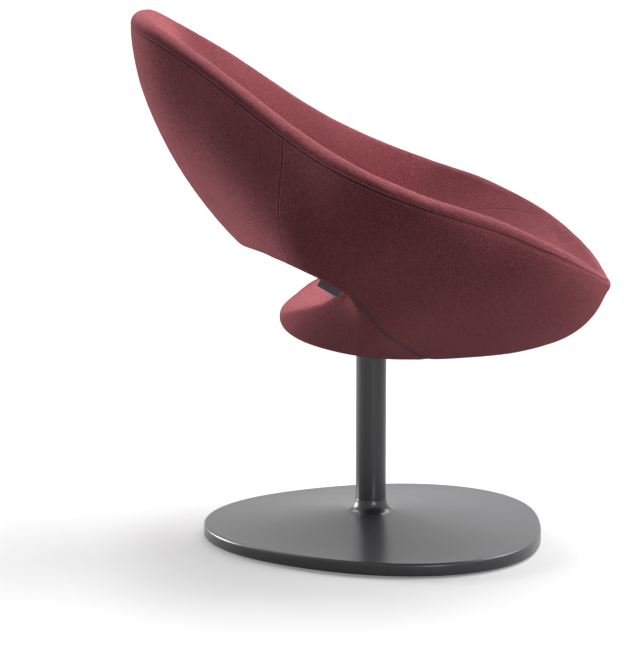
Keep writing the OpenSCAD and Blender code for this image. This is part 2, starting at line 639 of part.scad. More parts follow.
// Elastic straps behind the uprights of the back
web_reach = 2.6;
web_steps = 14;
function core_normal(s, f) =
  let (e = 0.03, a = core(min(s + e, last_station), f) - core(max(s - e, 0), f),
       b = core(s, f - e) - core(s, f + e))
  unit(cross(s < e ? [1, 0, 0] : a, b));
module web_strap(f) {
  rise = web_w / 2 / norm(core(0, f + 0.5) - core(0, f - 0.5));
  marks = [for (i = [-web_steps:web_steps]) web_reach * i / web_steps];
  function spot(s, f, out) = let (a = abs(s)) on_side(core(a, f) + out * core_normal(a, f), s);
  near = frame_r + 0.3;
  pts = [for (s = marks) each [spot(s, f + rise, near), spot(s, f - rise, near),
    spot(s, f - rise, near + web_t), spot(s, f + rise, near + web_t)]];
  n = len(marks);
  polyhedron(pts, concat(
    [for (i = [0:n - 2]) for (k = [0:3]) let (k2 = (k + 1) % 4)
      each quad(4 * i + k, 4 * i + k2, 4 * i + 4 + k2, 4 * i + 4 + k, true)],
    [[0, 1, 2, 3], [for (k = [3:-1:0]) 4 * (n - 1) + k]]), convexity = 4);
}
module back_webbing() {
  color([0.12, 0.12, 0.14]) for (i = [1:web_count]) web_strap(0.12 + 0.72 * i / (web_count + 1));
}

hole_drop = 20;
module board_pocket() {
  translate([0, 0, under_h - hole_drop])
    rounded_plate(plate_w + 2 * pocket_gap, plate_w + 2 * pocket_gap, board_z - under_h + hole_drop,
      plate_corner);
}
foam_colour = [0.93, 0.90, 0.80];
side_wool = [0.45, 0.18, 0.22];
face_wool = [0.58, 0.26, 0.31];
module back_foam() { color(foam_colour) foam_solid(true); }
module seat_foam() {
  color(foam_colour) difference() {
    foam_solid(false);
    board_pocket();
    board_shape();
  }
}
module outer_back_cover() { color(side_wool) cover_panel("outer_back"); }
module outer_band_cover() { color(side_wool) cover_panel("outer_band"); }
module inner_back_cover() { color(face_wool) cover_panel("inner_back"); }
module inner_arm_cover_left() { color(face_wool) cover_panel("arm_left"); }
module inner_arm_cover_right() { color(face_wool) cover_panel("arm_right"); }
module seat_cover() { color(face_wool) cover_panel("seat"); }
// Room that the cover leaves for the plate and the heads of its screws
module fitting_room() {
  translate([0, 0, plate_z - cover_gap])
    rounded_plate(plate_w + 2 * cover_gap, plate_w + 2 * cover_gap, board_top - plate_z, plate_corner);
  at_seat_screws() translate([0, 0, plate_z - screw_head_t - cover_gap])
    cylinder(r = screw_head_r + cover_gap, h = screw_head_t + cover_gap);
}
module under_cover() {
  color(side_wool) difference() {
    cover_panel("under");
    translate([0, 0, under_h - hole_drop])
      cylinder(r = column_r + cover_gap, h = board_z - under_h + hole_drop);
    fitting_room();
  }
}
module zip() { color([0.16, 0.13, 0.14]) cover_panel("zip"); }

// The slider is parked near the left end of the zip, standing down from the teeth
slider_col = 16;
slider_lift = [for (j = [0:ring_cols - 1]) [for (k = [0:rows - 1])
  skin[j][k] + slider_t * skin_normal(j, k)]];
module zip_slider() {
  color([0.30, 0.28, 0.28])
    sheet_solid(skin, slider_lift, [for (j = [0:ring_cols - 1]) [for (k = [0:rows - 1])
      j == slider_col && k == row_zip]]);
}

// A blank woven tag sewn under the edge of the right arm, beside the opening
tag_station = 4.0;
tag_depth = 0.25;
tag_sew = 2;
module label_tag() {
  mid = flip(under_curve(tag_station, tag_depth));
  further = flip(under_curve(tag_station + 0.2, tag_depth));
  dir = unit(further - mid);
  hang = unit([0, -dir[2], dir[1]]);
  a = mid - dir * tag_l / 2;
  b = mid + dir * tag_l / 2;
  pts = [for (x = [-tag_t / 2, tag_t / 2]) each [
    a + [x, 0, 0] - hang * tag_sew, b + [x, 0, 0] - hang * tag_sew,
    b + [x, 0, 0] + hang * tag_h, a + [x, 0, 0] + hang * tag_h]];
  color([0.15, 0.15, 0.17]) polyhedron(pts, [[0, 1, 2, 3], [7, 6, 5, 4], [0, 4, 5, 1],
    [1, 5, 6, 2], [2, 6, 7, 3], [3, 7, 4, 0]]);
}

base_casting();
floor_glides();
column_tube();
column_plug();
column_bolt();
bolt_washer();
lower_bush();
upper_bush();
spindle();
retaining_ring();
thrust_washer();
swivel_plate();
seat_screws();
tee_nuts();
seat_board();
frame();
frame_saddles();
saddle_screws();
back_webbing();
back_foam();
seat_foam();
outer_back_cover();
outer_band_cover();
inner_back_cover();
inner_arm_cover_left();
inner_arm_cover_right();
seat_cover();
under_cover();
zip();
zip_slider();
label_tag();
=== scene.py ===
import math

import bpy
import numpy as np
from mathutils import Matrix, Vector, kdtree


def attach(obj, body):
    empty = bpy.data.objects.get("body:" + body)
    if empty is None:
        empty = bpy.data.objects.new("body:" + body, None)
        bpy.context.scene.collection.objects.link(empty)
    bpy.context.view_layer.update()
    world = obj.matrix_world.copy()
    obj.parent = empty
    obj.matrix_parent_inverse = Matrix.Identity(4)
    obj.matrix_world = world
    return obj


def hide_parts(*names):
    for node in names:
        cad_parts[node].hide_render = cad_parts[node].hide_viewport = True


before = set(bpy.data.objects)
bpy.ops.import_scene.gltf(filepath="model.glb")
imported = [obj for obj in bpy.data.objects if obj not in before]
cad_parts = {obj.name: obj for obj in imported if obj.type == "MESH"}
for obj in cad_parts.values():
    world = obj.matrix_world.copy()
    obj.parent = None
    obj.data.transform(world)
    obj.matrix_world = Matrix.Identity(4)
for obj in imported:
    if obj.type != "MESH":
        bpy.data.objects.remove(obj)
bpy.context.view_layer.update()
MM = 0.001

# Camera at the photograph's place, in metres, looking along +X and a little down
CAMERA_PLACE, CAMERA_LOOK = (-3.4992, -0.0733, 0.833), (0.98800, 0.04520, -0.14764)
LENS, SENSOR, CLIP_NEAR, CLIP_FAR = 133.48, 36.0, 0.05, 500.0
cam_data = bpy.data.cameras.new("view_camera")
camera = bpy.data.objects.new("view_camera", cam_data)
bpy.context.collection.objects.link(camera)
bpy.context.scene.camera = camera
cam_data.sensor_fit = "VERTICAL"
cam_data.sensor_height = SENSOR
cam_data.sensor_width = SENSOR
cam_data.lens = LENS
cam_data.clip_start = CLIP_NEAR
cam_data.clip_end = CLIP_FAR
camera.location = CAMERA_PLACE
camera.rotation_mode = "QUATERNION"
camera.rotation_quaternion = Vector(CAMERA_LOOK).to_track_quat("-Z", "Y")

# Sizes of the part, in millimetres, as the construction has them
BACK_TOP, BACK_REACH, FRONT_REACH, ARM_W, FRONT_H, UNDER_H = 770, 326, 332, 642, 391, 266
RIM_R, RIM_FRONT_R, ZIP_W = 16, 12, 4
EDGE_H, EDGE_REACH, EDGE_T, CORNER_W, TAIL_REACH, TAIL_H = 437, 195, 50, 566, 134, 327
TAG_L, TAG_H, TAG_T = 32, 10, 1
BASE_R, EDGE_TOP, FLOOR_GAP, CROWN_H, FOOT_R, EDGE_R, CAST_T, FLANGE_W = 256, 21, 3, 37, 18, 4, 7, 30
GLIDE_D, GLIDES, COLUMN_D, COLUMN_WALL, COLUMN_TOP = 18, 6, 44.5, 3, 294
SOCKET_Z, BOSS_Z, BOSS_R, BOLT_R = 24, 16, 28, 6
PLATE_W, BOARD_Z, BOARD_TOP, BOARD_W, BOARD_L, BOARD_Y = 140, 302.5, 314.5, 236, 226, -48

# The tub's skin lies over stations round the rim (0 behind, 9 in front) and rows round the section.
# These are the stations and rows where its panels meet.
LAST, SEAM_S, CORNER_S, FRONT_S = 9, 3, 5, 7
R_ZIP, R_UNDER, R_INNER, R_ARM, R_ROLL, ROWS = 7, 8, 13, 17, 20, 24
ZIP_MIDDLE = (R_ZIP + R_UNDER) / 2
SIDES = (-1, 1)
# The seam between back and arm bows forward by this much of a station, and the skin's columns
# within so many stations of it follow
BOW, BOW_WIDTH, BOW_EASE = 0.42, 1.8, 1.3
# Powers that crowd the rows of the under face and of the seat towards their ends
UNDER_EASE, SEAT_EASE = 1.35, 1.5
# Share of the outer face's length given to each degree of the roll
SHARE_PER_DEGREE = 0.003
# The rim narrows from this station to the front
NARROW_S = 6

# Half width, forward place and height of the rim's top, as shares
RIM_SHAPE = np.array([
    [0.000, -1.000, 1.000], [0.355, -0.955, 0.968], [0.548, -0.690, 0.829], [0.763, -0.323, 0.606],
    [0.930, -0.060, 0.478], [1.000, 0.220, 0.377], [0.955, 0.520, 0.288], [0.845, 0.775, 0.176],
    [0.520, 0.945, 0.062], [0.000, 1.000, 0.000]])
RIM_TOP = np.stack([
    RIM_SHAPE[:, 0] * ARM_W / 2,
    -RIM_SHAPE[:, 1] * np.where(RIM_SHAPE[:, 1] < 0, BACK_REACH, FRONT_REACH),
    FRONT_H + RIM_SHAPE[:, 2] * (BACK_TOP - FRONT_H)], axis=1)
RIM_RADIUS = np.array([[RIM_R + (RIM_FRONT_R - RIM_R) * max(0, i - NARROW_S) / (LAST - NARROW_S)]
                       for i in range(LAST + 1)])
# Degrees of the roll: where it ends inside, where the rim seam lies and how far it is tucked under
ROLL_END = np.array([[a] for a in (150, 150, 152, 155, 155, 150, 138, 118, 100, 96)], float)
SEAM_TURN = np.array([[a] for a in (0, 0, 0, 0, 0, 0, 0, 0, 8, 50)], float)
TUCK = np.array([[a] for a in (0, 0, 0, 0, 0, 0, 0, 6, 25, 42)], float)
# Reference lengths that the shares below multiply
CW, EDGE_IN = CORNER_W / 2, EDGE_REACH - EDGE_T
BACK_RISE, GAP_RISE, SLOT_RISE = BACK_TOP - EDGE_H, EDGE_H - UNDER_H, EDGE_H - TAIL_H
TAIL_RISE, UNDER_RUN = TAIL_H - UNDER_H, TAIL_REACH + FRONT_REACH * 0.254
# The lower edges of the outer and the inner face, and the way each face leans there
ZIP_LINE = np.array([
    [0, EDGE_REACH, EDGE_H], [CW * 0.33, EDGE_REACH * 0.938, EDGE_H + GAP_RISE * 0.03],
    [CW * 0.67, EDGE_REACH * 0.785, EDGE_H + GAP_RISE * 0.052],
    [CW * 0.925, EDGE_REACH * 0.54, EDGE_H - GAP_RISE * 0.005],
    [CW, EDGE_REACH * 0.262, EDGE_H - GAP_RISE * 0.138],
    [CW * 0.965, EDGE_REACH * 0.092, EDGE_H - GAP_RISE * 0.282],
    [CW * 0.785, -FRONT_REACH * 0.07, UNDER_H + GAP_RISE * 0.39],
    [CW * 0.53, -FRONT_REACH * 0.163, UNDER_H + GAP_RISE * 0.21],
    [CW * 0.265, -FRONT_REACH * 0.23, UNDER_H + GAP_RISE * 0.0585],
    [0, -FRONT_REACH * 0.254, UNDER_H]])
ZIP_LEAN = np.array([
    [0, 0.70, 0.71], [0.20, 0.64, 0.74], [0.34, 0.47, 0.81], [0.28, 0.34, 0.90], [0.25, 0.02, 0.97],
    [0.42, -0.16, 0.89], [0.68, -0.36, 0.62], [0.66, -0.66, 0.36], [0.44, -0.88, 0.16], [0, -1, 0.01]])
INNER_LINE = np.array([
    [0, EDGE_IN, EDGE_H + SLOT_RISE * 0.127], [CW * 0.31, EDGE_IN * 0.938, EDGE_H + SLOT_RISE * 0.145],
    [CW * 0.57, EDGE_IN * 0.786, EDGE_H + SLOT_RISE * 0.182],
    [CW * 0.76, EDGE_IN * 0.503, EDGE_H + SLOT_RISE * 0.073],
    [CW * 0.835, EDGE_IN * 0.269, EDGE_H - SLOT_RISE * 0.145],
    [CW * 0.855, EDGE_IN * 0.179, EDGE_H - SLOT_RISE * 0.4],
    [CW * 0.70, TAIL_REACH * 0.478, TAIL_H + SLOT_RISE * 0.34],
    [CW * 0.49, TAIL_REACH * 0.769, TAIL_H + SLOT_RISE * 0.173],
    [CW * 0.25, TAIL_REACH * 0.94, TAIL_H + SLOT_RISE * 0.045], [0, TAIL_REACH, TAIL_H]])
INNER_LEAN = np.array([
    [0, 0.55, 0.84], [0.02, 0.52, 0.85], [0.06, 0.42, 0.90], [0.10, 0.28, 0.95], [0.12, 0.10, 0.99],
    [0.14, 0.04, 0.99], [0.10, 0.10, 0.99], [0.06, 0.08, 1], [0.02, 0.04, 1], [0, 0, 1]])
# Lengths of the handles of the three faces' curves: outer, under and inner, two for each
BEHIND = np.array([BACK_RISE, BACK_RISE, EDGE_T, EDGE_T, BACK_RISE, BACK_RISE])
AHEAD = np.array([FRONT_REACH, FRONT_REACH, UNDER_RUN, TAIL_RISE, FRONT_REACH, FRONT_REACH])
HANDLES = np.vstack([BEHIND * [
    [0.33, 0.354, 0.4, 0.36, 0.27, 0.315], [0.312, 0.342, 0.4, 0.36, 0.264, 0.3],
    [0.276, 0.312, 0.4, 0.36, 0.252, 0.276], [0.192, 0.234, 0.36, 0.32, 0.21, 0.186],
    [0.168, 0.186, 0.29, 0.22, 0.186, 0.168], [0.162, 0.186, 0.28, 0.16, 0.156, 0.18]], AHEAD * [
    [0.169, 0.278, 0.22, 0.36, 0.105, 0.332], [0.155, 0.454, 0.339, 0.57, 0.115, 0.574],
    [0.124, 0.706, 0.413, 0.68, 0.125, 0.792], [0.083, 0.76, 0.45, 0.76, 0.155, 0.906]]])
# Share of the inner face, from the inner line up, that lies below the seat seam
SEAT_SHARE = np.array([[v] for v in (0.5, 0.5, 0.5, 0.4, 0.22, 0.16, 0.8, 0.975, 0.96, 0.96)])
UP = np.array([0.0, 0.0, 1.0])


# Curves of the tub's skin: s is the station, r the row and t the share of a face
def knot(table, i):
    """Rows of a table at whole stations, mirrored past both of its ends."""
    over, under = i > LAST, i < 0
    out = table[np.where(over, 2 * LAST - i, np.abs(i))].copy()
    if table.shape[1] == 3:
        out[over | under, 0] *= -1
    return out


def along(table, s):
    """Values of a table at any stations, on a smooth curve through its rows."""
    i = np.clip(np.floor(s).astype(int), 0, LAST - 1)
    t = (s - i)[:, None]
    a, b, c, d = (knot(table, i + k) for k in (-1, 0, 1, 2))
    return 0.5 * (2 * b + (c - a) * t + (2 * a - 5 * b + 4 * c - d) * t * t
                  + (3 * b - a - 3 * c + d) * t ** 3)


def unit(v):
    return v / np.maximum(np.linalg.norm(v, axis=-1, keepdims=True), 1e-9)


def bezier(a, b, c, d, t):
    u = 1 - t
    return u ** 3 * a + 3 * u * u * t * b + 3 * u * t * t * c + t ** 3 * d


def rim_out(s):
    """The level direction out of the rim, square to it."""
    e = 0.02
    d = unit((along(RIM_TOP, np.minimum(LAST, s + e)) - along(RIM_TOP, np.maximum(0, s - e)))[:, :2])
    out = np.stack([-d[:, 1], d[:, 0], np.zeros(len(s))], axis=1)
    out[s < e] = (0, 1, 0)
    out[s > LAST - e] = (0, -1, 0)
    return out


def roll_point(s, angle):
    """A point of the rim's roll: 0 degrees is its outer side, 90 its top and 180 its inner side."""
    radius, out = along(RIM_RADIUS, s), rim_out(s)
    a = np.radians(angle).reshape(-1, 1)
    return along(RIM_TOP, s) - radius * UP + radius * (np.cos(a) * out + np.sin(a) * UP)


def outer_curve(s, t):
    """From the rim seam round the outside of the roll, then down the outer face to the zip line."""
    h, top, low = along(HANDLES, s), along(SEAM_TURN, s)[:, :1], -along(TUCK, s)[:, :1]
    share = SHARE_PER_DEGREE * (top - low)
    a, d, angle = roll_point(s, low[:, 0]), along(ZIP_LINE, s), np.radians(low)
    down = np.sin(angle) * rim_out(s) - np.cos(angle) * UP
    face = bezier(a, a + h[:, :1] * down, d + h[:, 1:2] * unit(along(ZIP_LEAN, s)), d,
                  np.clip((t - share) / (1 - share), 0, 1))
    turned = top - (top - low) * np.clip(t / np.maximum(share, 1e-9), 0, 1)
    return np.where(t < share, roll_point(s, turned[:, 0]), face)


def under_curve(s, t):
    """From the zip line under the foam to the inner line."""
    h, a, d = along(HANDLES, s), along(ZIP_LINE, s), along(INNER_LINE, s)
    return bezier(a, a - h[:, 2:3] * unit(along(ZIP_LEAN, s)),
                  d - h[:, 3:4] * unit(along(INNER_LEAN, s)), d, t)


def inner_curve(s, t):
    """From the inner line up the inner face to the end of the roll."""
    h, e, a = along(HANDLES, s), along(ROLL_END, s)[:, 0], along(INNER_LINE, s)
    d, er = roll_point(s, e), np.radians(e).reshape(-1, 1)
    down = -np.sin(er) * rim_out(s) + np.cos(er) * UP
    return bezier(a, a + h[:, 4:5] * unit(along(INNER_LEAN, s)), d + h[:, 5:6] * down, d, t)


def chord(curve, s, a, b):
    """The distance between two shares of a curve, at each station."""
    start, end = (curve(s, np.full((len(s), 1), float(t))) for t in (a, b))
    return np.linalg.norm(end - start, axis=1)


def skin(s, r):
    """Points of the skin, in millimetres, at stations -9..9 (the left side is s > 0) and rows 0..24."""
    s, r = np.broadcast_arrays(np.asarray(s, float), np.asarray(r, float))
    s, r = s.ravel().copy(), r.ravel() % ROWS
    side = np.where(s < 0, -1.0, 1.0)
    s = np.abs(s)
    side = np.where(s > LAST, -side, side)
    s = np.where(s > LAST, 2 * LAST - s, s)
    # Shares that half the zip's width takes of the outer and the under face
    q_out = ZIP_W / 2 / chord(outer_curve, s, 0.9, 1) / 10
    q_und = ZIP_W / 2 / chord(under_curve, s, 0.5, 0) / 2
    share = along(SEAT_SHARE, s)[:, 0]
    x = r - R_ZIP
    t_out = np.where(r <= R_ZIP, (1 - q_out) * r / R_ZIP, 1 - q_out * (1 - 2 * np.clip(x, 0, 0.5)))
    far = np.clip((r - R_UNDER) / (R_INNER - R_UNDER), 0, 1)
    t_und = np.where(r < R_UNDER, q_und * np.clip(2 * x - 1, 0, 1),
                     q_und + (1 - q_und) * (1 - (1 - far) ** UNDER_EASE))
    t_in = np.where(r <= R_ARM, share * np.clip((r - R_INNER) / (R_ARM - R_INNER), 0, 1) ** SEAT_EASE,
                    share + (1 - share) * np.clip((r - R_ARM) / (R_ROLL - R_ARM), 0, 1))
    # The seam between back and arm bows forward on the inner face
    across = np.clip(1 - ((s - SEAM_S) / BOW_WIDTH) ** 2, 0, 1) ** 2
    s_in = s + BOW * (4 * t_in * (1 - t_in)).clip(0, 1) ** BOW_EASE * across
    top, end = along(SEAM_TURN, s)[:, 0], along(ROLL_END, s)[:, 0]
    angle = top + (end - top) * (ROWS - r) / (ROWS - R_ROLL)
    out = np.zeros((len(s), 3))
    for test, make in (
            (r < ZIP_MIDDLE, lambda m: outer_curve(s[m], t_out[m, None])),
            ((r >= ZIP_MIDDLE) & (r < R_INNER), lambda m: under_curve(s[m], t_und[m, None])),
            ((r >= R_INNER) & (r < R_ROLL), lambda m: inner_curve(s_in[m], t_in[m, None])),
            (r >= R_ROLL, lambda m: roll_point(s[m], angle[m]))):
        if test.any():
            out[test] = make(test)
    out[:, 0] *= side
    return out


def frame_at(s, r):
    """Points, outward normals, and the directions along the ring and along the section."""
    hs, hr = 0.004, 0.01
    p = skin(s, r)
    ds = (skin(np.asarray(s) + hs, r) - skin(np.asarray(s) - hs, r)) / (2 * hs)
    dr = (skin(s, np.asarray(r) + hr) - skin(s, np.asarray(r) - hr)) / (2 * hr)
    return p, unit(np.cross(ds, dr)), ds, dr


def spaced(seams, low, high, step, near):
    """Values from low to high, closer together on both sides of each seam."""
    values = {low, high}
    values.update(np.round(np.arange(low, high, step), 6))
    for c in seams:
        # The even values close to a seam give way to its own
        values = {v for v in values if abs(v - c) > near[-1] * 1.02 or v in (low, high)}
        values.update(round(c + k * n, 6) for n in (0,) + near for k in SIDES if low <= c + k * n <= high)
    return np.array(sorted(values))


def panel_of(s, r):
    """The panel of the cover that a place of the skin belongs to."""
    a = abs(s)
    if r < R_ZIP:
        return "outer_back" if a < SEAM_S else "outer_band"
    if r < R_INNER:
        return ("outer_back" if a < SEAM_S else "outer_band" if a < CORNER_S
                else "zip" if r < R_UNDER else "under")
    if a < SEAM_S:
        return "inner_back"
    if a < CORNER_S or (a < FRONT_S and r >= R_ARM):
        return "arm_left" if s > 0 else "arm_right"
    return "seat"


def run(s0, s1, r0, r1, n=260):
    """A line over the skin as n stations and rows."""
    k = np.linspace(0, 1, n)
    return s0 + (s1 - s0) * k, r0 + (r1 - r0) * k


# Seams, each along one row or one station. The flat ones join one face of the tub to itself and are
# drawn in less than the others, which follow its edges.
SEAMS = {
    "rim": [run(-LAST, LAST, 0, 0, 2400)],
    "sides": [run(k * SEAM_S, k * SEAM_S, 0, R_INNER) for k in SIDES],
    "inner_back": [run(k * SEAM_S, k * SEAM_S, R_INNER, ROWS) for k in SIDES],
    "corner": [run(k * CORNER_S, k * CORNER_S, R_ZIP, R_ARM) for k in SIDES],
    "arm": [run(k * CORNER_S, k * FRONT_S, R_ARM, R_ARM, 400) for k in SIDES],
    "front": [run(k * FRONT_S, k * FRONT_S, R_ARM, ROWS) for k in SIDES],
    "zip_edges": [run(k * CORNER_S, k * LAST, r, r, 900) for k in SIDES for r in (R_ZIP, R_UNDER)]}
FLAT_SEAMS, FLAT_DEPTH = ("sides", "inner_back", "arm", "front"), 0.4
# A seam's groove as bells across it, in millimetres: height, distance from the seam and width
GROOVE = ((-0.95, 0, 1.1), (-0.35, 0, 4.5), (0.22, 11, 6))
# The cloth's slow waves, which fade out near a seam, and its pucker beside one, in millimetres
WAVE_H, WAVE_CLEAR = 0.28, 12
PUCKER_H, PUCKER_PLACE, PUCKER_WIDTH = 0.22, 6, 6


def seam_distance(names, places):
    """Distance from each place to the nearest of the named seams, in millimetres."""
    seam_points = np.vstack([skin(*line) for name in names for line in SEAMS[name]])
    tree = kdtree.KDTree(len(seam_points))
    for i, p in enumerate(seam_points):
        tree.insert(p, i)
    tree.balance()
    return np.array([tree.find(p)[2] for p in places])


def groove(d):
    """How far the skin lies in (-) or out (+) at a distance from a seam, in millimetres."""
    return sum(height * np.exp(-((d - place) / width) ** 2) for height, place, width in GROOVE)


def relief(places, d):
    """Slow waves of the cloth away from the seams, and its pucker beside them, in millimetres."""
    x, y, z = places.T
    wave = (np.sin(x * 0.071 + z * 0.043 + 1.3) * np.sin(y * 0.063 - z * 0.051)
            + 0.5 * np.sin(x * 0.17 - y * 0.13) * np.sin(z * 0.19 + 0.7))
    pucker = np.exp(-((d - PUCKER_PLACE) / PUCKER_WIDTH) ** 2) * np.sin(x * 0.42 + y * 0.37 + z * 0.33)
    return WAVE_H * wave * (1 - np.exp(-(d / WAVE_CLEAR) ** 2)) + PUCKER_H * pucker


def new_mesh(name, verts, faces, body, uv=None):
    """A smooth mesh from points in millimetres, carried by a body."""
    mesh = bpy.data.meshes.new(name)
    places = [tuple(v) for v in np.asarray(verts) * MM]
    mesh.from_pydata(places, [], [tuple(int(i) for i in face) for face in faces])
    mesh.update()
    mesh.polygons.foreach_set("use_smooth", [True] * len(mesh.polygons))
    if uv is not None:
        layer = mesh.uv_layers.new(name="cloth")
        index = np.zeros(len(mesh.loops), dtype=np.int32)
        mesh.loops.foreach_get("vertex_index", index)
        layer.data.foreach_set("uv", np.asarray(uv)[index].ravel().astype(np.float32))
    obj = bpy.data.objects.new(name, mesh)
    bpy.context.collection.objects.link(obj)
    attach(obj, body)
    return obj


# The tub's grid, fine across every seam
S_NEAR = (0.008, 0.018, 0.034, 0.056, 0.085)
R_NEAR = (0.025, 0.06, 0.11, 0.18, 0.28)
ZIP_ROWS = [7.12, 7.3, 7.5, 7.7, 7.88]
s_half = spaced((SEAM_S, CORNER_S, FRONT_S), 0, LAST, 0.09, S_NEAR)
s_ring = np.concatenate([s_half, -s_half[-2:0:-1]])
r_rows = np.concatenate([
    spaced((0, R_ZIP), 0, R_ZIP, 0.2, R_NEAR), ZIP_ROWS,
    spaced((R_UNDER, R_INNER), R_UNDER, R_INNER, 0.25, R_NEAR),
    spaced((R_INNER, R_ARM), R_INNER, R_ARM, 0.16, R_NEAR)[1:],
    spaced((R_ARM,), R_ARM, R_ROLL, 0.14, R_NEAR)[1:],
    spaced((ROWS,), R_ROLL, ROWS, 0.25, R_NEAR)[1:-1]])
NC, NR = len(s_ring), len(r_rows)
grid_s, grid_r = np.meshgrid(s_ring, r_rows, indexing="ij")
points, normals, _, _ = frame_at(grid_s, grid_r)
edge_dist = seam_distance([name for name in SEAMS if name not in FLAT_SEAMS], points)
flat_dist = seam_distance(FLAT_SEAMS, points)
drawn_in = groove(edge_dist) + FLAT_DEPTH * groove(flat_dist)
surface = points + normals * (drawn_in + relief(points, np.minimum(edge_dist, flat_dist)))[:, None]

# Lengths along the ring and the section, for the direction of the cloth's threads, and what a
# millimetre is in the cloth's coordinates
CLOTH_UNIT = 0.01
plain_grid = points.reshape(NC, NR, 3)
row_steps = np.linalg.norm(np.diff(plain_grid, axis=1), axis=2)
v_len = np.concatenate([np.zeros((NC, 1)), np.cumsum(row_steps, axis=1)], axis=1)
order = np.argsort(s_ring)
ring_steps = np.linalg.norm(np.diff(plain_grid[order], axis=0), axis=2)
u_sorted = np.concatenate([np.zeros((1, NR)), np.cumsum(ring_steps, axis=0)], axis=0)
u_sorted -= u_sorted[np.searchsorted(s_ring[order], 0.0)]
u_len = np.zeros_like(u_sorted)
u_len[order] = u_sorted
cloth_uv = np.stack([u_len, v_len], axis=2).reshape(-1, 2) * CLOTH_UNIT

# The panel of each cell, by the cell's middle. The column past the last station is on the right side.
s_next, r_next = np.roll(s_ring, -1), np.append(r_rows[1:], ROWS)
mid_s = np.where(np.abs(s_ring - s_next) < LAST, (s_ring + s_next) / 2, 0.01 - LAST)
mid_r = (r_rows + r_next) / 2
panel_cells = {}
for j, k in np.ndindex(NC, NR):
    panel_cells.setdefault(panel_of(mid_s[j], mid_r[k]), []).append((j, k))


def cell_corners(j, k):
    """The grid's points round a cell."""
    return [(a % NC) * NR + b % NR for a, b in ((j, k), (j + 1, k), (j + 1, k + 1), (j, k + 1))]


def panel_piece(name, cells, body, depth=(2.6, 6.5)):
    """One panel of the cover: its skin, and its edges turned in to these depths along the seams."""
    quads = [cell_corners(j, k) for j, k in cells]
    edges = dict.fromkeys((a, b) for q in quads for a, b in zip(q, q[1:] + q[:1]))
    rim = [(a, b) for a, b in edges if (b, a) not in edges]
    source = sorted({i for q in quads for i in q})
    local = {g: i for i, g in enumerate(source)}
    faces = [[local[i] for i in q[::-1]] for q in quads]
    sunk = [0.0] * len(source)
    chain = {}
    for g in {i for edge in rim for i in edge}:
        chain[g] = [local[g], *range(len(source), len(source) + len(depth))]
        source += [g] * len(depth)
        sunk += depth
    for a, b in rim:
        faces += [(chain[a][i], chain[b][i], chain[b][i + 1], chain[a][i + 1]) for i in range(len(depth))]
    sunk = np.array(sunk)[:, None]
    piece = new_mesh(name, surface[source] - normals[source] * sunk, faces, body,
                     uv=cloth_uv[source] + sunk * (0, CLOTH_UNIT))
    for label, values in (("edge_seam", edge_dist), ("flat_seam", flat_dist)):
        layer = piece.data.attributes.new(label, "FLOAT", "POINT")
        layer.data.foreach_set("value", values[source].astype(np.float32))
    return piece


# Nodes and materials
class Nodes:
    """The emptied node tree of a material or a world, with short forms for filling it."""

    def __init__(self, owner):
        owner.use_nodes = True
        self.tree = owner.node_tree
        self.tree.nodes.clear()

    def node(self, kind, **values):
        """A new node. Each value goes to its property or its input of that name."""
        n = self.tree.nodes.new("ShaderNode" + kind)
        for key, value in values.items():
            if hasattr(n, key):
                setattr(n, key, value)
            else:
                n.inputs[key.replace("_", " ")].default_value = value
        return n

    def link(self, source, target):
        self.tree.links.new(source, target)

    def maths(self, operation, *values):
        """The result of one Math node, from numbers or from other nodes' values."""
        n = self.node("Math", operation=operation)
        for value, socket in zip(values, n.inputs):
            if isinstance(value, (int, float)):
                socket.default_value = value
            else:
                self.link(value, socket)
        return n.outputs[0]

    def plus(self, a, b):
        return self.maths("ADD", a, b)

    def minus(self, a, b):
        return self.maths("SUBTRACT", a, b)

    def times(self, a, b):
        return self.maths("MULTIPLY", a, b)

    def total(self, *shares):
        """The sum of values, each times its share."""
        parts = [self.times(value, share) for value, share in shares]
        out = parts[0]
        for part in parts[1:]:
            out = self.plus(out, part)
        return out

    def seen(self):
        """1 where the camera looks, straight, in a mirror or through glass, and 0 for all other light."""
        path = self.node("LightPath")
        straight = self.maths("MAXIMUM", path.outputs["Is Camera Ray"], path.outputs["Is Glossy Ray"])
        return self.maths("MAXIMUM", straight, path.outputs["Is Transmission Ray"])


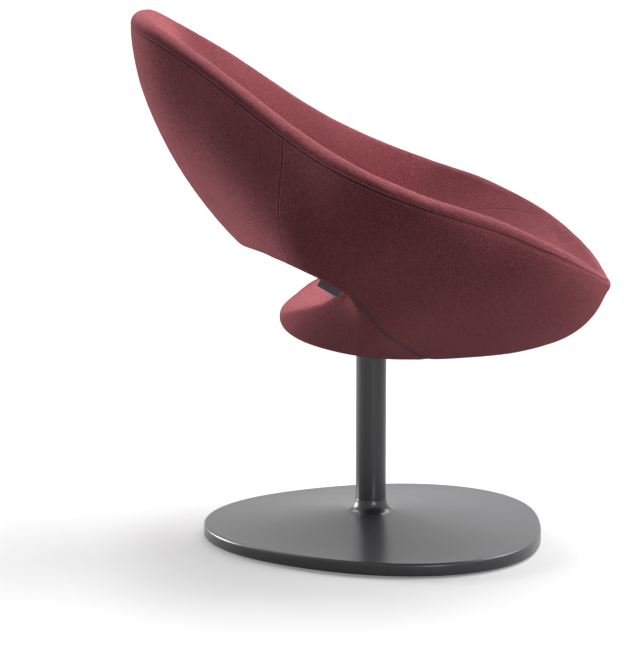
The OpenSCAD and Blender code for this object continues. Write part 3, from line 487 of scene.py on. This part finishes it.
class Surface(Nodes):
    """A material with one Principled shader."""

    def __init__(self, name):
        self.material = bpy.data.materials.new(name)
        super().__init__(self.material)
        self.shader = self.node("BsdfPrincipled")
        self.link(self.shader.outputs[0], self.node("OutputMaterial").inputs[0])

    def set(self, **values):
        """Values that are the same all over the surface."""
        for key, value in values.items():
            self.shader.inputs[key.replace("_", " ")].default_value = value

    def feed(self, name, source):
        """A value of the shader that varies over the surface."""
        self.link(source, self.shader.inputs[name])

    def noise(self, scale, detail=3, rough=0.6, source=None, stretch=None):
        """Noise over the object's own coordinates or over others, which may be stretched."""
        n = self.node("TexNoise", Scale=scale, Detail=detail, Roughness=rough)
        source = source or self.node("TexCoord").outputs["Object"]
        if stretch:
            mapping = self.node("Mapping", Scale=stretch)
            self.link(source, mapping.inputs[0])
            source = mapping.outputs[0]
        self.link(source, n.inputs["Vector"])
        return n.outputs["Fac"]

    def ramp(self, source, *stops):
        """Colours by value, each stop a place and a colour."""
        n = self.node("ValToRGB")
        elements = n.color_ramp.elements
        while len(elements) < len(stops):
            elements.new(0.5)
        for element, (place, colour) in zip(elements, stops):
            element.position, element.color = place, colour
        self.link(source, n.inputs[0])
        return n.outputs[0]

    def cloth_coordinates(self):
        """Lengths along the cloth's two threads."""
        return self.node("UVMap", uv_map="cloth").outputs[0]

    def weave(self, uv, *turns):
        """Waves along both coordinates, multiplied, with so many turns to a unit of each."""
        parts = self.node("SeparateXYZ")
        self.link(uv, parts.inputs[0])
        waves = [self.maths("SINE", self.times(part, 2 * math.pi * n))
                 for part, n in zip(parts.outputs, turns)]
        return self.times(*waves)

    def bump(self, height, strength, distance):
        """Fine relief of the surface, from a height."""
        n = self.node("Bump", Strength=strength, Distance=distance)
        self.link(height, n.inputs["Height"])
        self.feed("Normal", n.outputs[0])


def srgb(r, g, b):
    """A colour from its values of 0 to 255 as shown."""
    f = lambda c: c / 255 / 12.92 if c / 255 <= 0.04045 else ((c / 255 + 0.055) / 1.055) ** 2.4
    return (f(r), f(g), f(b), 1.0)


# Noises of the wool, as (scale, detail, roughness), and the shares that they and the weave have in its
# colour. The yarn's noise is drawn out along the threads of the cloth and squeezed across them.
YARN, FLECK, MOTTLE, CLOUD = (30, 3, 0.7), (620, 2, 0.65), (360, 2, 0.6), (9, 3, 0.6)
YARN_SHARE, FLECK_SHARE, MOTTLE_SHARE, CLOUD_SHARE, WEAVE_SHARE = 0.28, 0.46, 0.28, 0.10, 0.05
YARN_ALONG, YARN_ACROSS = 0.35, 3.2
WEAVE_RISE, GRAIN_RISE = 0.55, 3.2
# Painted shade beside each kind of seam, as (width, depth): dark lines in its fold, and along the two rows
# of needle holes, which run this far from the seam, in millimetres
FOLD_SHADE = {"edge_seam": (0.9, 0.55), "flat_seam": (0.7, 0.15)}
HOLE_SHADE = {"edge_seam": (0.75, 0.28), "flat_seam": (0.7, 0.12)}
STITCH_GAP = 2.9
# A plain surface's broad grain is so many times coarser than its fine one, and its roughness varies
# by so much
BROAD_GRAIN, ROUGH_VARY = 45, 0.12
# The tag's ribs to a unit of the cloth's coordinates, along and across it, and their share in its colour
TAG_RIBS, RIBS_SHARE = (110, 160), 0.14


def wool(name, dark, mid, light, pitch=1.6):
    """Heathered wool: crossing threads from the cloth coordinates, flecks of lighter and darker fibre, and
    painted shade in the seams' folds and needle holes.
    """
    m = Surface(name)
    uv = m.cloth_coordinates()
    threads = 1 / CLOTH_UNIT / pitch
    weave = m.weave(uv, threads, threads)
    warp = m.noise(*YARN, uv, (YARN_ALONG, YARN_ACROSS, 1))
    weft = m.noise(*YARN, uv, (YARN_ACROSS, YARN_ALONG, 1))
    yarn = m.times(m.total((warp, 0.5), (weft, 0.5)), YARN_SHARE)
    grain = m.total((m.noise(*FLECK), FLECK_SHARE), (m.noise(*MOTTLE), MOTTLE_SHARE))
    cloud = m.minus(m.noise(*CLOUD), 0.5)
    mixed = m.plus(m.plus(yarn, grain), m.total((cloud, CLOUD_SHARE), (weave, WEAVE_SHARE)))
    cloth = m.ramp(mixed, (0.37, dark), (0.48, mid), (0.61, light))

    def shade_lines(place, kinds):
        """Painted shade: dark lines at some distance from the seams."""
        bells = []
        for seam, (width, depth) in kinds.items():
            away = m.node("Attribute", attribute_name=seam).outputs["Fac"]
            q = m.maths("DIVIDE", m.minus(away, place), width)
            bells.append((m.maths("EXPONENT", m.times(m.times(q, q), -1)), depth))
        return m.total(*bells)

    # Painted shade: the cloth's colour is darkened in the seams' folds and along the rows of needle holes
    fold, hole_pits_and_shade = shade_lines(0, FOLD_SHADE), shade_lines(STITCH_GAP, HOLE_SHADE)
    shaded_cloth = m.node("VectorMath", operation="SCALE")
    m.link(cloth, shaded_cloth.inputs[0])
    m.link(m.minus(1, m.plus(fold, hole_pits_and_shade)), shaded_cloth.inputs["Scale"])
    m.feed("Base Color", shaded_cloth.outputs[0])
    m.set(Roughness=0.92, Specular_IOR_Level=0.18)
    m.set(Sheen_Weight=0.8, Sheen_Roughness=0.5, Sheen_Tint=(0.95, 0.32, 0.36, 1))
    m.bump(m.total((weave, WEAVE_RISE), (grain, GRAIN_RISE), (hole_pits_and_shade, -GRAIN_RISE)), 1.0, 0.0009)
    return m.material


def plain(name, colour, rough, metal=0.0, scale=400, vary=0.12, bump=0.1, depth=0.0002, spec=0.5,
          stretch=None):
    """A surface with fine grain: its colour, roughness and bump vary with noise."""
    m = Surface(name)
    fine = m.noise(scale, stretch=stretch)
    broad = m.noise(scale / BROAD_GRAIN, stretch=stretch)
    both = m.total((fine, 0.5), (broad, 0.5))
    low, high = (tuple(min(1, c * share) for c in colour[:3]) + (1,) for share in (1 - vary, 1 + vary))
    m.feed("Base Color", m.ramp(both, (0.35, low), (0.65, high)))
    m.feed("Roughness", m.plus(m.times(m.minus(both, 0.5), ROUGH_VARY), rough))
    m.set(Metallic=metal, Specular_IOR_Level=spec)
    m.bump(fine, bump, depth)
    return m.material


def tag_weave():
    """Woven tape: fine ribs across and along it, in mottled yarn."""
    m = Surface("tag_weave")
    uv = m.cloth_coordinates()
    both = m.plus(m.noise(140, 2, source=uv), m.times(m.weave(uv, *TAG_RIBS), RIBS_SHARE))
    m.feed("Base Color", m.ramp(both, (0.35, srgb(80, 82, 90)), (0.7, srgb(126, 128, 138))))
    m.set(Roughness=0.75, Sheen_Weight=0.2)
    m.bump(both, 0.5, 0.0003)
    return m.material


WOOL = wool("wool", srgb(104, 43, 49), srgb(152, 72, 79), srgb(198, 112, 119))
THREAD = plain("thread", srgb(182, 110, 118), 0.7, scale=1500, vary=0.25, bump=0.3)
COAT = plain("black_coat", srgb(45, 46, 50), 0.30, scale=900, vary=0.10, bump=0.06, depth=0.0001)
RUBBER = plain("black_rubber", srgb(24, 24, 25), 0.75, scale=600, vary=0.15, bump=0.2)
ZINC = plain("zinc_steel", srgb(186, 188, 190), 0.34, metal=1.0, scale=500, vary=0.08)
BUSH = plain("bush_plastic", srgb(224, 220, 206), 0.5, scale=500, vary=0.04)
BRIGHT = plain("bright_steel", srgb(184, 186, 190), 0.24, metal=1.0, scale=700, vary=0.06, stretch=(1, 1, 8))
SPRING = plain("spring_steel", srgb(92, 86, 84), 0.4, metal=1.0, scale=700, vary=0.1)
DARK = plain("dark_steel", srgb(58, 58, 60), 0.45, scale=700, vary=0.1)
PLY = plain("plywood", srgb(206, 172, 124), 0.6, scale=160, vary=0.16, stretch=(1, 9, 9))
FRAME = plain("frame_steel", srgb(66, 67, 70), 0.4, scale=700, vary=0.1)
WEB = plain("webbing", srgb(44, 44, 48), 0.85, scale=900, vary=0.3, bump=0.5, stretch=(0.4, 1, 3))
FOAM = plain("foam", srgb(236, 228, 196), 0.9, scale=800, vary=0.06, bump=0.6, depth=0.0006, spec=0.2)
TAPE = plain("zip_tape", srgb(88, 66, 67), 0.85, scale=1200, vary=0.3, bump=0.4)
TEETH = plain("zip_teeth", srgb(78, 60, 61), 0.4, scale=900, vary=0.15)
TAG = tag_weave()


def finish_piece(obj, mat, slot, *nodes):
    """Gives a piece its material, and hides the nodes of the CAD model that it replaces. The slot is not
    used.
    """
    obj.data.materials.clear()
    obj.data.materials.append(mat)
    if nodes:
        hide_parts(*nodes)


# The hole for the column in the under cover. Cells less than HOLE_CORE from the axis go, points up to
# HOLE_RING from it move out to the hole's edge, and those up to HOLE_REACH crowd up behind them.
HOLE_R, HOLE_REACH, HOLE_RING, HOLE_CORE = COLUMN_D / 2 + 1.5, 34.0, 12, 7


def open_hole(cells):
    """Makes room for the column in the surface, and gives the cells that are left."""
    flat = np.linalg.norm(surface[:, :2], axis=1)
    near = {i for cell in cells for i in cell_corners(*cell) if flat[i] < HOLE_REACH}
    gone = {i for i in near if flat[i] < HOLE_CORE}
    for i in near:
        pulled = max(0.0, flat[i] - HOLE_RING) * (HOLE_REACH - HOLE_R) / (HOLE_REACH - HOLE_RING)
        surface[i, :2] = surface[i, :2] / max(flat[i], 1e-6) * (HOLE_R + pulled)
    return [cell for cell in cells if gone.isdisjoint(cell_corners(*cell))]


# The cover's panels
COVERS = {"outer_back": "outer_back_cover", "outer_band": "outer_band_cover",
          "inner_back": "inner_back_cover", "arm_left": "inner_arm_cover_left",
          "arm_right": "inner_arm_cover_right", "seat": "seat_cover", "under": "under_cover"}
for key, node_name in COVERS.items():
    cells = open_hole(panel_cells[key]) if key == "under" else panel_cells[key]
    piece = panel_piece("panel_" + key, cells, "seat")
    finish_piece(piece, WOOL, "wool", node_name)


# The foam: how far it lies under the skin, how far it ends from the side seams, in stations, and how
# many steps it has to a station and to each stretch of rows
FOAM_DEPTH, FOAM_GAP, FOAM_STEPS = 3.4, 0.004, 9
FOAM_ROWS = ((0, R_ZIP, 22), (R_ZIP, R_INNER, 18), (R_INNER, R_ROLL, 26), (R_ROLL, ROWS, 12))


def closed_core(name, low, high):
    """A length of the foam between two stations, closed by flat ends."""
    stations = np.linspace(low, high, int(abs(high - low) * FOAM_STEPS) + 1)
    rows = np.concatenate([np.linspace(a, b, n)[:-1] for a, b, n in FOAM_ROWS])
    p, n, _, _ = frame_at(*np.meshgrid(stations, rows, indexing="ij"))
    m = len(rows)
    faces = [(j * m + k, j * m + (k + 1) % m, (j + 1) * m + (k + 1) % m, (j + 1) * m + k)
             for j in range(len(stations) - 1) for k in range(m)]
    faces += [tuple(range(m))[::-1], tuple(range((len(stations) - 1) * m, len(stations) * m))]
    return new_mesh(name, p - n * FOAM_DEPTH, faces, "seat")


def cut_box(obj, low, high):
    """Cuts a box between two corners, in millimetres, out of a piece."""
    bpy.ops.mesh.primitive_cube_add(size=1)
    cutter = bpy.context.active_object
    cutter.scale = [(b - a) * MM for a, b in zip(low, high)]
    cutter.location = [(a + b) / 2 * MM for a, b in zip(low, high)]
    mod = obj.modifiers.new("cut", "BOOLEAN")
    mod.operation, mod.solver, mod.object = "DIFFERENCE", "EXACT", cutter
    bpy.context.view_layer.objects.active = obj
    bpy.ops.object.modifier_apply(modifier="cut")
    bpy.data.objects.remove(cutter, do_unlink=True)


back_core = closed_core("back_core", -SEAM_S + FOAM_GAP, SEAM_S - FOAM_GAP)
seat_core = closed_core("seat_core", SEAM_S + FOAM_GAP, 2 * LAST - SEAM_S - FOAM_GAP)
pocket = PLATE_W / 2 + 1
cut_box(seat_core, (-pocket, -pocket, UNDER_H - 20), (pocket, pocket, BOARD_Z + 0.2))
cut_box(seat_core, (-BOARD_W / 2, BOARD_Y - BOARD_L / 2, BOARD_Z),
        (BOARD_W / 2, BOARD_Y + BOARD_L / 2, BOARD_TOP))
finish_piece(back_core, FOAM, "foam", "back_foam")
finish_piece(seat_core, FOAM, "foam", "seat_foam")

# Stitches: small rounded beads of thread laid along lines beside the seams. A bead's rings are given
# by their place along it and their girth, as shares of its length and radius.
BEAD_RINGS, BEAD_END_SUNK = ((-0.36, 0.75), (0.0, 1.0), (0.36, 0.75)), 0.8
STITCH_PITCH, STITCH_L, STITCH_R, STITCH_LIFT = 3.7, 2.5, 0.55, 0.1


def beads(name, places, directions, outs, length, radius, flat=0.7, sides=5):
    """One mesh of small rounded beads, each along its direction and a little flat against the skin."""
    verts, faces = [], []
    for p, d, n in zip(places, directions, outs):
        w = np.cross(n, d)
        base = len(verts)
        verts.append(p - d * length / 2 - n * radius * BEAD_END_SUNK)
        for t, k in BEAD_RINGS:
            for i in range(sides):
                a = 2 * math.pi * i / sides
                verts.append(p + d * length * t + k * radius * (math.cos(a) * w + flat * math.sin(a) * n))
        verts.append(p + d * length / 2 - n * radius * BEAD_END_SUNK)
        last = base + 1 + (len(BEAD_RINGS) - 1) * sides
        for i in range(sides):
            i2 = (i + 1) % sides
            faces.append((base, base + 1 + i2, base + 1 + i))
            for a0 in range(base + 1, last, sides):
                faces.append((a0 + i, a0 + i2, a0 + sides + i2, a0 + sides + i))
            faces.append((last + i, last + i2, last + sides))
    return new_mesh(name, np.array(verts), faces, "seat")


def beside(line, gap, lift, fixed_row, depth):
    """Points of a line moved sideways over the skin by gap millimetres, in a groove of some depth."""
    s, r = line
    _, _, ds, dr = frame_at(s, r)
    s2 = s if fixed_row else s + gap / np.linalg.norm(ds, axis=1)
    r2 = r + gap / np.linalg.norm(dr, axis=1) if fixed_row else r
    p, n, _, _ = frame_at(s2, r2)
    return p + n * (depth * groove(abs(gap)) + lift), n


def walk(p, n, pitch):
    """Evenly spaced places along a line of points, with directions and normals."""
    length = np.concatenate([[0], np.cumsum(np.linalg.norm(np.diff(p, axis=0), axis=1))])
    marks = np.arange(pitch / 2, length[-1], pitch)
    at = lambda places, values: np.stack([np.interp(places, length, v) for v in values.T], axis=1)
    normal = unit(at(marks, n))
    d = unit(at(np.minimum(marks + 1, length[-1]), p) - at(marks - 1, p))
    d = unit(d - normal * np.sum(d * normal, axis=1, keepdims=True))
    return at(marks, p), d, normal


# The seams that are stitched, and whether each keeps to one row
STITCHED = {"rim": True, "sides": False, "inner_back": False, "arm": True, "front": False}
for seam, fixed_row in STITCHED.items():
    depth = FLAT_DEPTH if seam in FLAT_SEAMS else 1
    rows = [walk(*beside(line, gap, STITCH_LIFT, fixed_row, depth), STITCH_PITCH)
            for line in SEAMS[seam] for gap in (-STITCH_GAP, STITCH_GAP)]
    places, directions, outs = (np.vstack(values) for values in zip(*rows))
    stitches = beads("stitches_" + seam, places, directions, outs, STITCH_L, STITCH_R)
    finish_piece(stitches, THREAD, "wool")


# Zip: a recessed tape with teeth down its middle, and its slider
TAPE_SUNK, TEETH_SUNK, SLIDER_S = 1.3, 1.0, 5.5
TOOTH_PITCH, TOOTH_L, TOOTH_R, TOOTH_SHIFT = 1.5, 2.2, 0.55, 0.3


def round_front(low, n):
    """Stations from the left side round the front to the right side."""
    s = np.linspace(low, LAST, n)
    return np.concatenate([s, -s[-2::-1]])


zip_rows, zip_s = np.linspace(R_ZIP - 0.02, R_UNDER + 0.05, 9), round_front(CORNER_S, 150)
zp, zn, _, _ = frame_at(*np.meshgrid(zip_s, zip_rows, indexing="ij"))
nz = len(zip_rows)
zip_faces = [(j * nz + k, j * nz + k + 1, (j + 1) * nz + k + 1, (j + 1) * nz + k)
             for j in range(len(zip_s) - 1) for k in range(nz - 1)]
tape = new_mesh("zip_band", zp - zn * TAPE_SUNK, zip_faces, "seat")
finish_piece(tape, TAPE, "zip_tape", "zip")
line_s = round_front(CORNER_S + 0.02, 600)
tp, tn, _, _ = frame_at(line_s, np.full(len(line_s), ZIP_MIDDLE))
tooth_p, tooth_d, tooth_n = walk(tp - tn * TEETH_SUNK, tn, TOOTH_PITCH)
across = np.cross(tooth_n, tooth_d)
tooth_shift = np.where(np.arange(len(tooth_p)) % 2 == 0, TOOTH_SHIFT, -TOOTH_SHIFT)[:, None]
teeth = beads("zip_teeth", tooth_p + across * tooth_shift, across, tooth_n, TOOTH_L, TOOTH_R, flat=0.9)
finish_piece(teeth, TEETH, "zip_tape")


def rounded_box(name, centre, axes, size, bevel, body):
    """A box with rounded edges, its axes given as three directions."""
    bpy.ops.mesh.primitive_cube_add(size=1)
    o = bpy.context.active_object
    o.name = name
    for v in o.data.vertices:
        v.co = Vector((centre + sum(axes[i] * v.co[i] * size[i] for i in range(3))) * MM)
    mod = o.modifiers.new("round", "BEVEL")
    mod.width, mod.segments = bevel * MM, 3
    bpy.ops.object.modifier_apply(modifier="round")
    for f in o.data.polygons:
        f.use_smooth = True
    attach(o, body)
    return o


slider_p, slider_n, slider_d, _ = frame_at(np.array([SLIDER_S]), np.array([ZIP_MIDDLE]))
ahead, above = unit(slider_d)[0], slider_n[0]
slider_axes = (ahead, unit(np.cross(above, ahead)), above)
# The slider's parts: place along and above the zip, size, bevel, and the node that each replaces
SLIDER_PARTS = {"slider_body": (0, 0.6, (9, 6.4, 2.6), 0.9, ("zip_slider",)),
                "slider_bridge": (0, 2.3, (6, 1.6, 1.3), 0.5, ()),
                "slider_pull": (9.5, 2.3, (15, 4.6, 0.9), 0.4, ())}
for name, (shift, lift, size, bevel, nodes) in SLIDER_PARTS.items():
    centre = slider_p[0] + above * lift + ahead * shift
    piece = rounded_box(name, centre, slider_axes, size, bevel, "seat")
    finish_piece(piece, SPRING, "spring_steel", *nodes)


# Blank tag: a folded loop of woven tape, a little curved, sewn in under the edge. It hangs from this
# station and share of the under face. Each leg takes up TAG_LEG of the tape's length and the fold the
# rest, and the whole length is TAG_RUN in the cloth's coordinates.
TAG_S, TAG_SHARE, TAG_SEWN_IN, TAG_LEG, TAG_RUN = 4.0, 0.25, 2, 0.46, 0.3
TAG_BOW, TAG_RIPPLE, TAG_RIPPLE_TURN = 0.9, 0.35, 0.35


def tag_mesh():
    """The tag's loop, hanging level below the right arm's edge."""
    flip = np.array([-1.0, 1.0, 1.0])
    one = lambda s: under_curve(np.array([s]), np.array([[TAG_SHARE]]))[0] * flip
    middle = one(TAG_S)
    ahead = unit(one(TAG_S + 0.2) - middle)
    hang = unit(np.array([0, -ahead[2], ahead[1]]))
    out = unit(np.cross(hang, ahead))
    nu, nv = 24, 22
    drop, fold_r, fold = TAG_H + TAG_SEWN_IN, TAG_T / 2, 1 - 2 * TAG_LEG
    verts, uvs = [], []
    for i in range(nu + 1):
        u = (i / nu - 0.5) * TAG_L
        for j in range(nv + 1):
            # Down one face, round the fold, up the other
            t = j / nv
            if t < TAG_LEG:
                depth, side = t / TAG_LEG * (drop - fold_r), 1.0
            elif t > 1 - TAG_LEG:
                depth, side = (1 - t) / TAG_LEG * (drop - fold_r), -1.0
            else:
                a = (t - TAG_LEG) / fold * math.pi
                depth, side = drop - fold_r + fold_r * math.sin(a), math.cos(a)
            bend = TAG_BOW * math.sin(math.pi * (u / TAG_L + 0.5)) * (depth / drop) ** 1.5
            bend += TAG_RIPPLE * math.sin(u * TAG_RIPPLE_TURN) * depth / drop
            verts.append(middle + ahead * u + hang * (depth - TAG_SEWN_IN) + out * (side * fold_r + bend))
            uvs.append((u * CLOTH_UNIT, t * TAG_RUN))
    m = nv + 1
    faces = [(i * m + j, i * m + j + 1, (i + 1) * m + j + 1, (i + 1) * m + j)
             for i in range(nu) for j in range(nv)]
    return new_mesh("tag_loop", np.array(verts), faces, "seat", uv=np.array(uvs))


finish_piece(tag_mesh(), TAG, "tag_weave", "label_tag")


# Turned and lofted pieces
def loft(name, rings, body):
    """A closed surface through rings of points, from the last of them back to the first."""
    rings = np.array(rings)
    count, sides = rings.shape[:2]
    faces = [(r * sides + i, r * sides + (i + 1) % sides, ((r + 1) % count) * sides + (i + 1) % sides,
              ((r + 1) % count) * sides + i) for r in range(count) for i in range(sides)]
    return new_mesh(name, rings.reshape(-1, 3), faces, body)


def ring(radius, z, angles, centre=(0, 0)):
    """Points at some angles round an upright axis, counted from the front."""
    return np.stack([centre[0] + radius * np.sin(angles), centre[1] - radius * np.cos(angles),
                     np.full(len(angles), z)], axis=1)


def round_angles(sides):
    """Even angles of one turn."""
    return np.arange(sides) / sides * 2 * math.pi


# The base's outline is a circle with these waves, of one to four turns, as shares of its radius
OUTLINE_WAVES, OUTLINE_SIDES, CROWN_POWER = (0.061, -0.018, -0.053, -0.012), 288, 1.5
# Room round the bolt, and between the column and the end of the foot's fillet
BOLT_ROOM, FOOT_ROOM = 0.5, 0.8
COL_R = COLUMN_D / 2
INNER_R = COL_R + FOOT_ROOM + FOOT_R


def outline(a):
    """The base's reach from the column's axis at an angle from the front."""
    return BASE_R * sum((wave * np.cos(n * a) for n, wave in enumerate(OUTLINE_WAVES, 1)), 1)


def base_top(f):
    """Height of the base's top at a share of the way from the axis to the outline."""
    return EDGE_TOP + (CROWN_H - EDGE_TOP) * (1 - f) ** CROWN_POWER


def casting_section():
    """The casting's wall as (share of the outline, radius added, height), from the bolt's bore down
    the underside, round the edge, over the top and the foot and down the column's socket."""
    bore = [(0, BOLT_R + BOLT_ROOM, SOCKET_Z), (0, BOLT_R + BOLT_ROOM, BOSS_Z), (0, BOSS_R, BOSS_Z)]
    below = [(f, (BOSS_R + 3) * (1 - f) - (FLANGE_W + 4) * f, base_top(f) - CAST_T)
             for f in np.linspace(0, 1, 14)]
    flange = [(1, -inset, FLOOR_GAP + rise)
              for inset, rise in ((FLANGE_W, 0), (2, 0), (1, 0.3), (0.3, 1), (0, 2))]
    edge = [(1, EDGE_R * (math.cos(a) - 1), EDGE_TOP - EDGE_R + EDGE_R * math.sin(a))
            for a in np.radians(np.linspace(0, 90, 12))]
    top = [(f, INNER_R * (1 - f) - EDGE_R * f, base_top(f)) for f in np.linspace(0.985, 0.06, 34)]
    foot = [(0, INNER_R - FOOT_R * math.sin(a), CROWN_H + FOOT_R * (1 - math.cos(a)))
            for a in np.radians(np.linspace(6, 90, 18))]
    socket = [(0, COL_R + 0.25, CROWN_H + FOOT_R + 0.35), (0, COL_R, CROWN_H + FOOT_R + 0.2),
              (0, COL_R, SOCKET_Z)]
    return bore + below + flange + edge + top + foot + socket


around = round_angles(OUTLINE_SIDES)
casting_rings = [ring(f * outline(around) + q, z, around) for f, q, z in casting_section()]
casting = loft("base_shell", casting_rings, "base")
finish_piece(casting, COAT, "black_coat", "base_casting")


def turned(name, section, body, sides=192, centre=(0, 0)):
    """A turned piece from its section as (radius, height)."""
    return loft(name, [ring(r, z, round_angles(sides), centre) for r, z in section], body)


def column_section():
    """The tube's wall, with its outer top edge rounded."""
    bore = COL_R - COLUMN_WALL
    face = [(COL_R, z) for z in np.linspace(SOCKET_Z + 2, COLUMN_TOP - 1, 24)]
    lip = [(COL_R - 0.3, COLUMN_TOP - 0.3), (COL_R - 1, COLUMN_TOP), (bore, COLUMN_TOP)]
    return [(bore, SOCKET_Z), (COL_R, SOCKET_Z)] + face + lip


def glide_section():
    """A flat disc with a rounded lower edge, closed at the axis."""
    r = GLIDE_D / 2
    return [(0.01, 0), (r - 1.2, 0), (r - 0.4, 0.3), (r, 1.1), (r, FLOOR_GAP), (0.01, FLOOR_GAP)]


finish_piece(turned("column_shell", column_section(), "base"), COAT, "black_coat", "column_tube")
for i in range(GLIDES):
    a = 2 * math.pi * i / GLIDES
    q = float(outline(a)) - FLANGE_W + GLIDE_D / 2 + 1
    centre = (q * math.sin(a), -q * math.cos(a))
    glide = turned(f"glide_{i}", glide_section(), "base", sides=64, centre=centre)
    finish_piece(glide, RUBBER, "black_rubber", *(("floor_glides",) if i == 0 else ()))

# The inner pieces keep their CAD shape and take a finish
FINISHES = {"column_plug": ZINC, "column_bolt": ZINC, "bolt_washer": ZINC, "lower_bush": BUSH,
            "upper_bush": BUSH, "spindle": BRIGHT, "retaining_ring": SPRING, "thrust_washer": BRIGHT,
            "swivel_plate": DARK, "seat_screws": ZINC, "tee_nuts": ZINC, "seat_board": PLY, "frame": FRAME,
            "frame_saddles": ZINC, "saddle_screws": ZINC, "back_webbing": WEB}
for node_name, mat in FINISHES.items():
    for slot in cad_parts[node_name].material_slots:
        slot.material = mat


# Floor, background and light: the floor's tone in light that falls on the chair, and its tone and
# glow where it is seen
FLOOR_TONE, SEEN_TONE, SEEN_GLOW, FLOOR_SIZE = 0.20, 0.55, 0.23, 300


def floor_material():
    """A matt pale floor, which shows paler than the light that it throws back."""
    m = Surface("floor")
    seen = m.seen()
    m.set(Roughness=1.0, Specular_IOR_Level=0.0, Emission_Color=(1, 1, 1, 1))
    m.feed("Emission Strength", m.times(seen, SEEN_GLOW))
    m.feed("Base Color", m.plus(m.times(seen, SEEN_TONE - FLOOR_TONE), FLOOR_TONE))
    return m.material


bpy.ops.mesh.primitive_plane_add(size=FLOOR_SIZE)
floor = bpy.context.active_object
floor.name = "floor"
floor.data.materials.append(floor_material())

# The world gives no light of its own, and is white where it is seen
world = bpy.data.worlds.new("studio")
bpy.context.scene.world = world
sky = Nodes(world)
mix = sky.node("MixShader")
sky.link(sky.seen(), mix.inputs[0])
for strength, socket in ((0.0, mix.inputs[1]), (1.0, mix.inputs[2])):
    background = sky.node("Background", Color=(1, 1, 1, 1), Strength=strength)
    sky.link(background.outputs[0], socket)
sky.link(mix.outputs[0], sky.node("OutputWorld").inputs[0])


def lamp(name, azimuth, height, share, spread, mirrored=True, lighting=True):
    """A broad lamp far away. Azimuth 0 is in front of the chair and 90 on its left side, in degrees.
    A share of 1 shows a matt surface that faces the lamp in its own colour. Only the lamps that are
    mirrored show in gloss, and only those that are lighting reach matt surfaces."""
    data = bpy.data.lights.new(name, "SUN")
    data.energy = share * math.pi
    data.angle = math.radians(spread)
    o = bpy.data.objects.new(name, data)
    bpy.context.collection.objects.link(o)
    o.visible_glossy, o.visible_diffuse = mirrored, lighting
    a, h = math.radians(azimuth), math.radians(height)
    toward = Vector((-math.sin(a) * math.cos(h), math.cos(a) * math.cos(h), -math.sin(h)))
    o.rotation_mode = "QUATERNION"
    o.rotation_quaternion = toward.to_track_quat("-Z", "Y")


lamp("front_lamp", 0, 42, 0.78, 40, mirrored=False)
lamp("top_lamp", 60, 60, 0.92, 50)
lamp("rear_lamp", 152, 14, 1.10, 30)
lamp("low_front_lamp", 0, 4, 0.60, 30, mirrored=False)
lamp("front_glint", 50, 45, 0.15, 14)
lamp("rear_glint", 130, 45, 0.15, 14)
lamp("side_glint", 293, 12, 0.30, 9, lighting=False)
bpy.context.scene.view_settings.view_transform = "Standard"
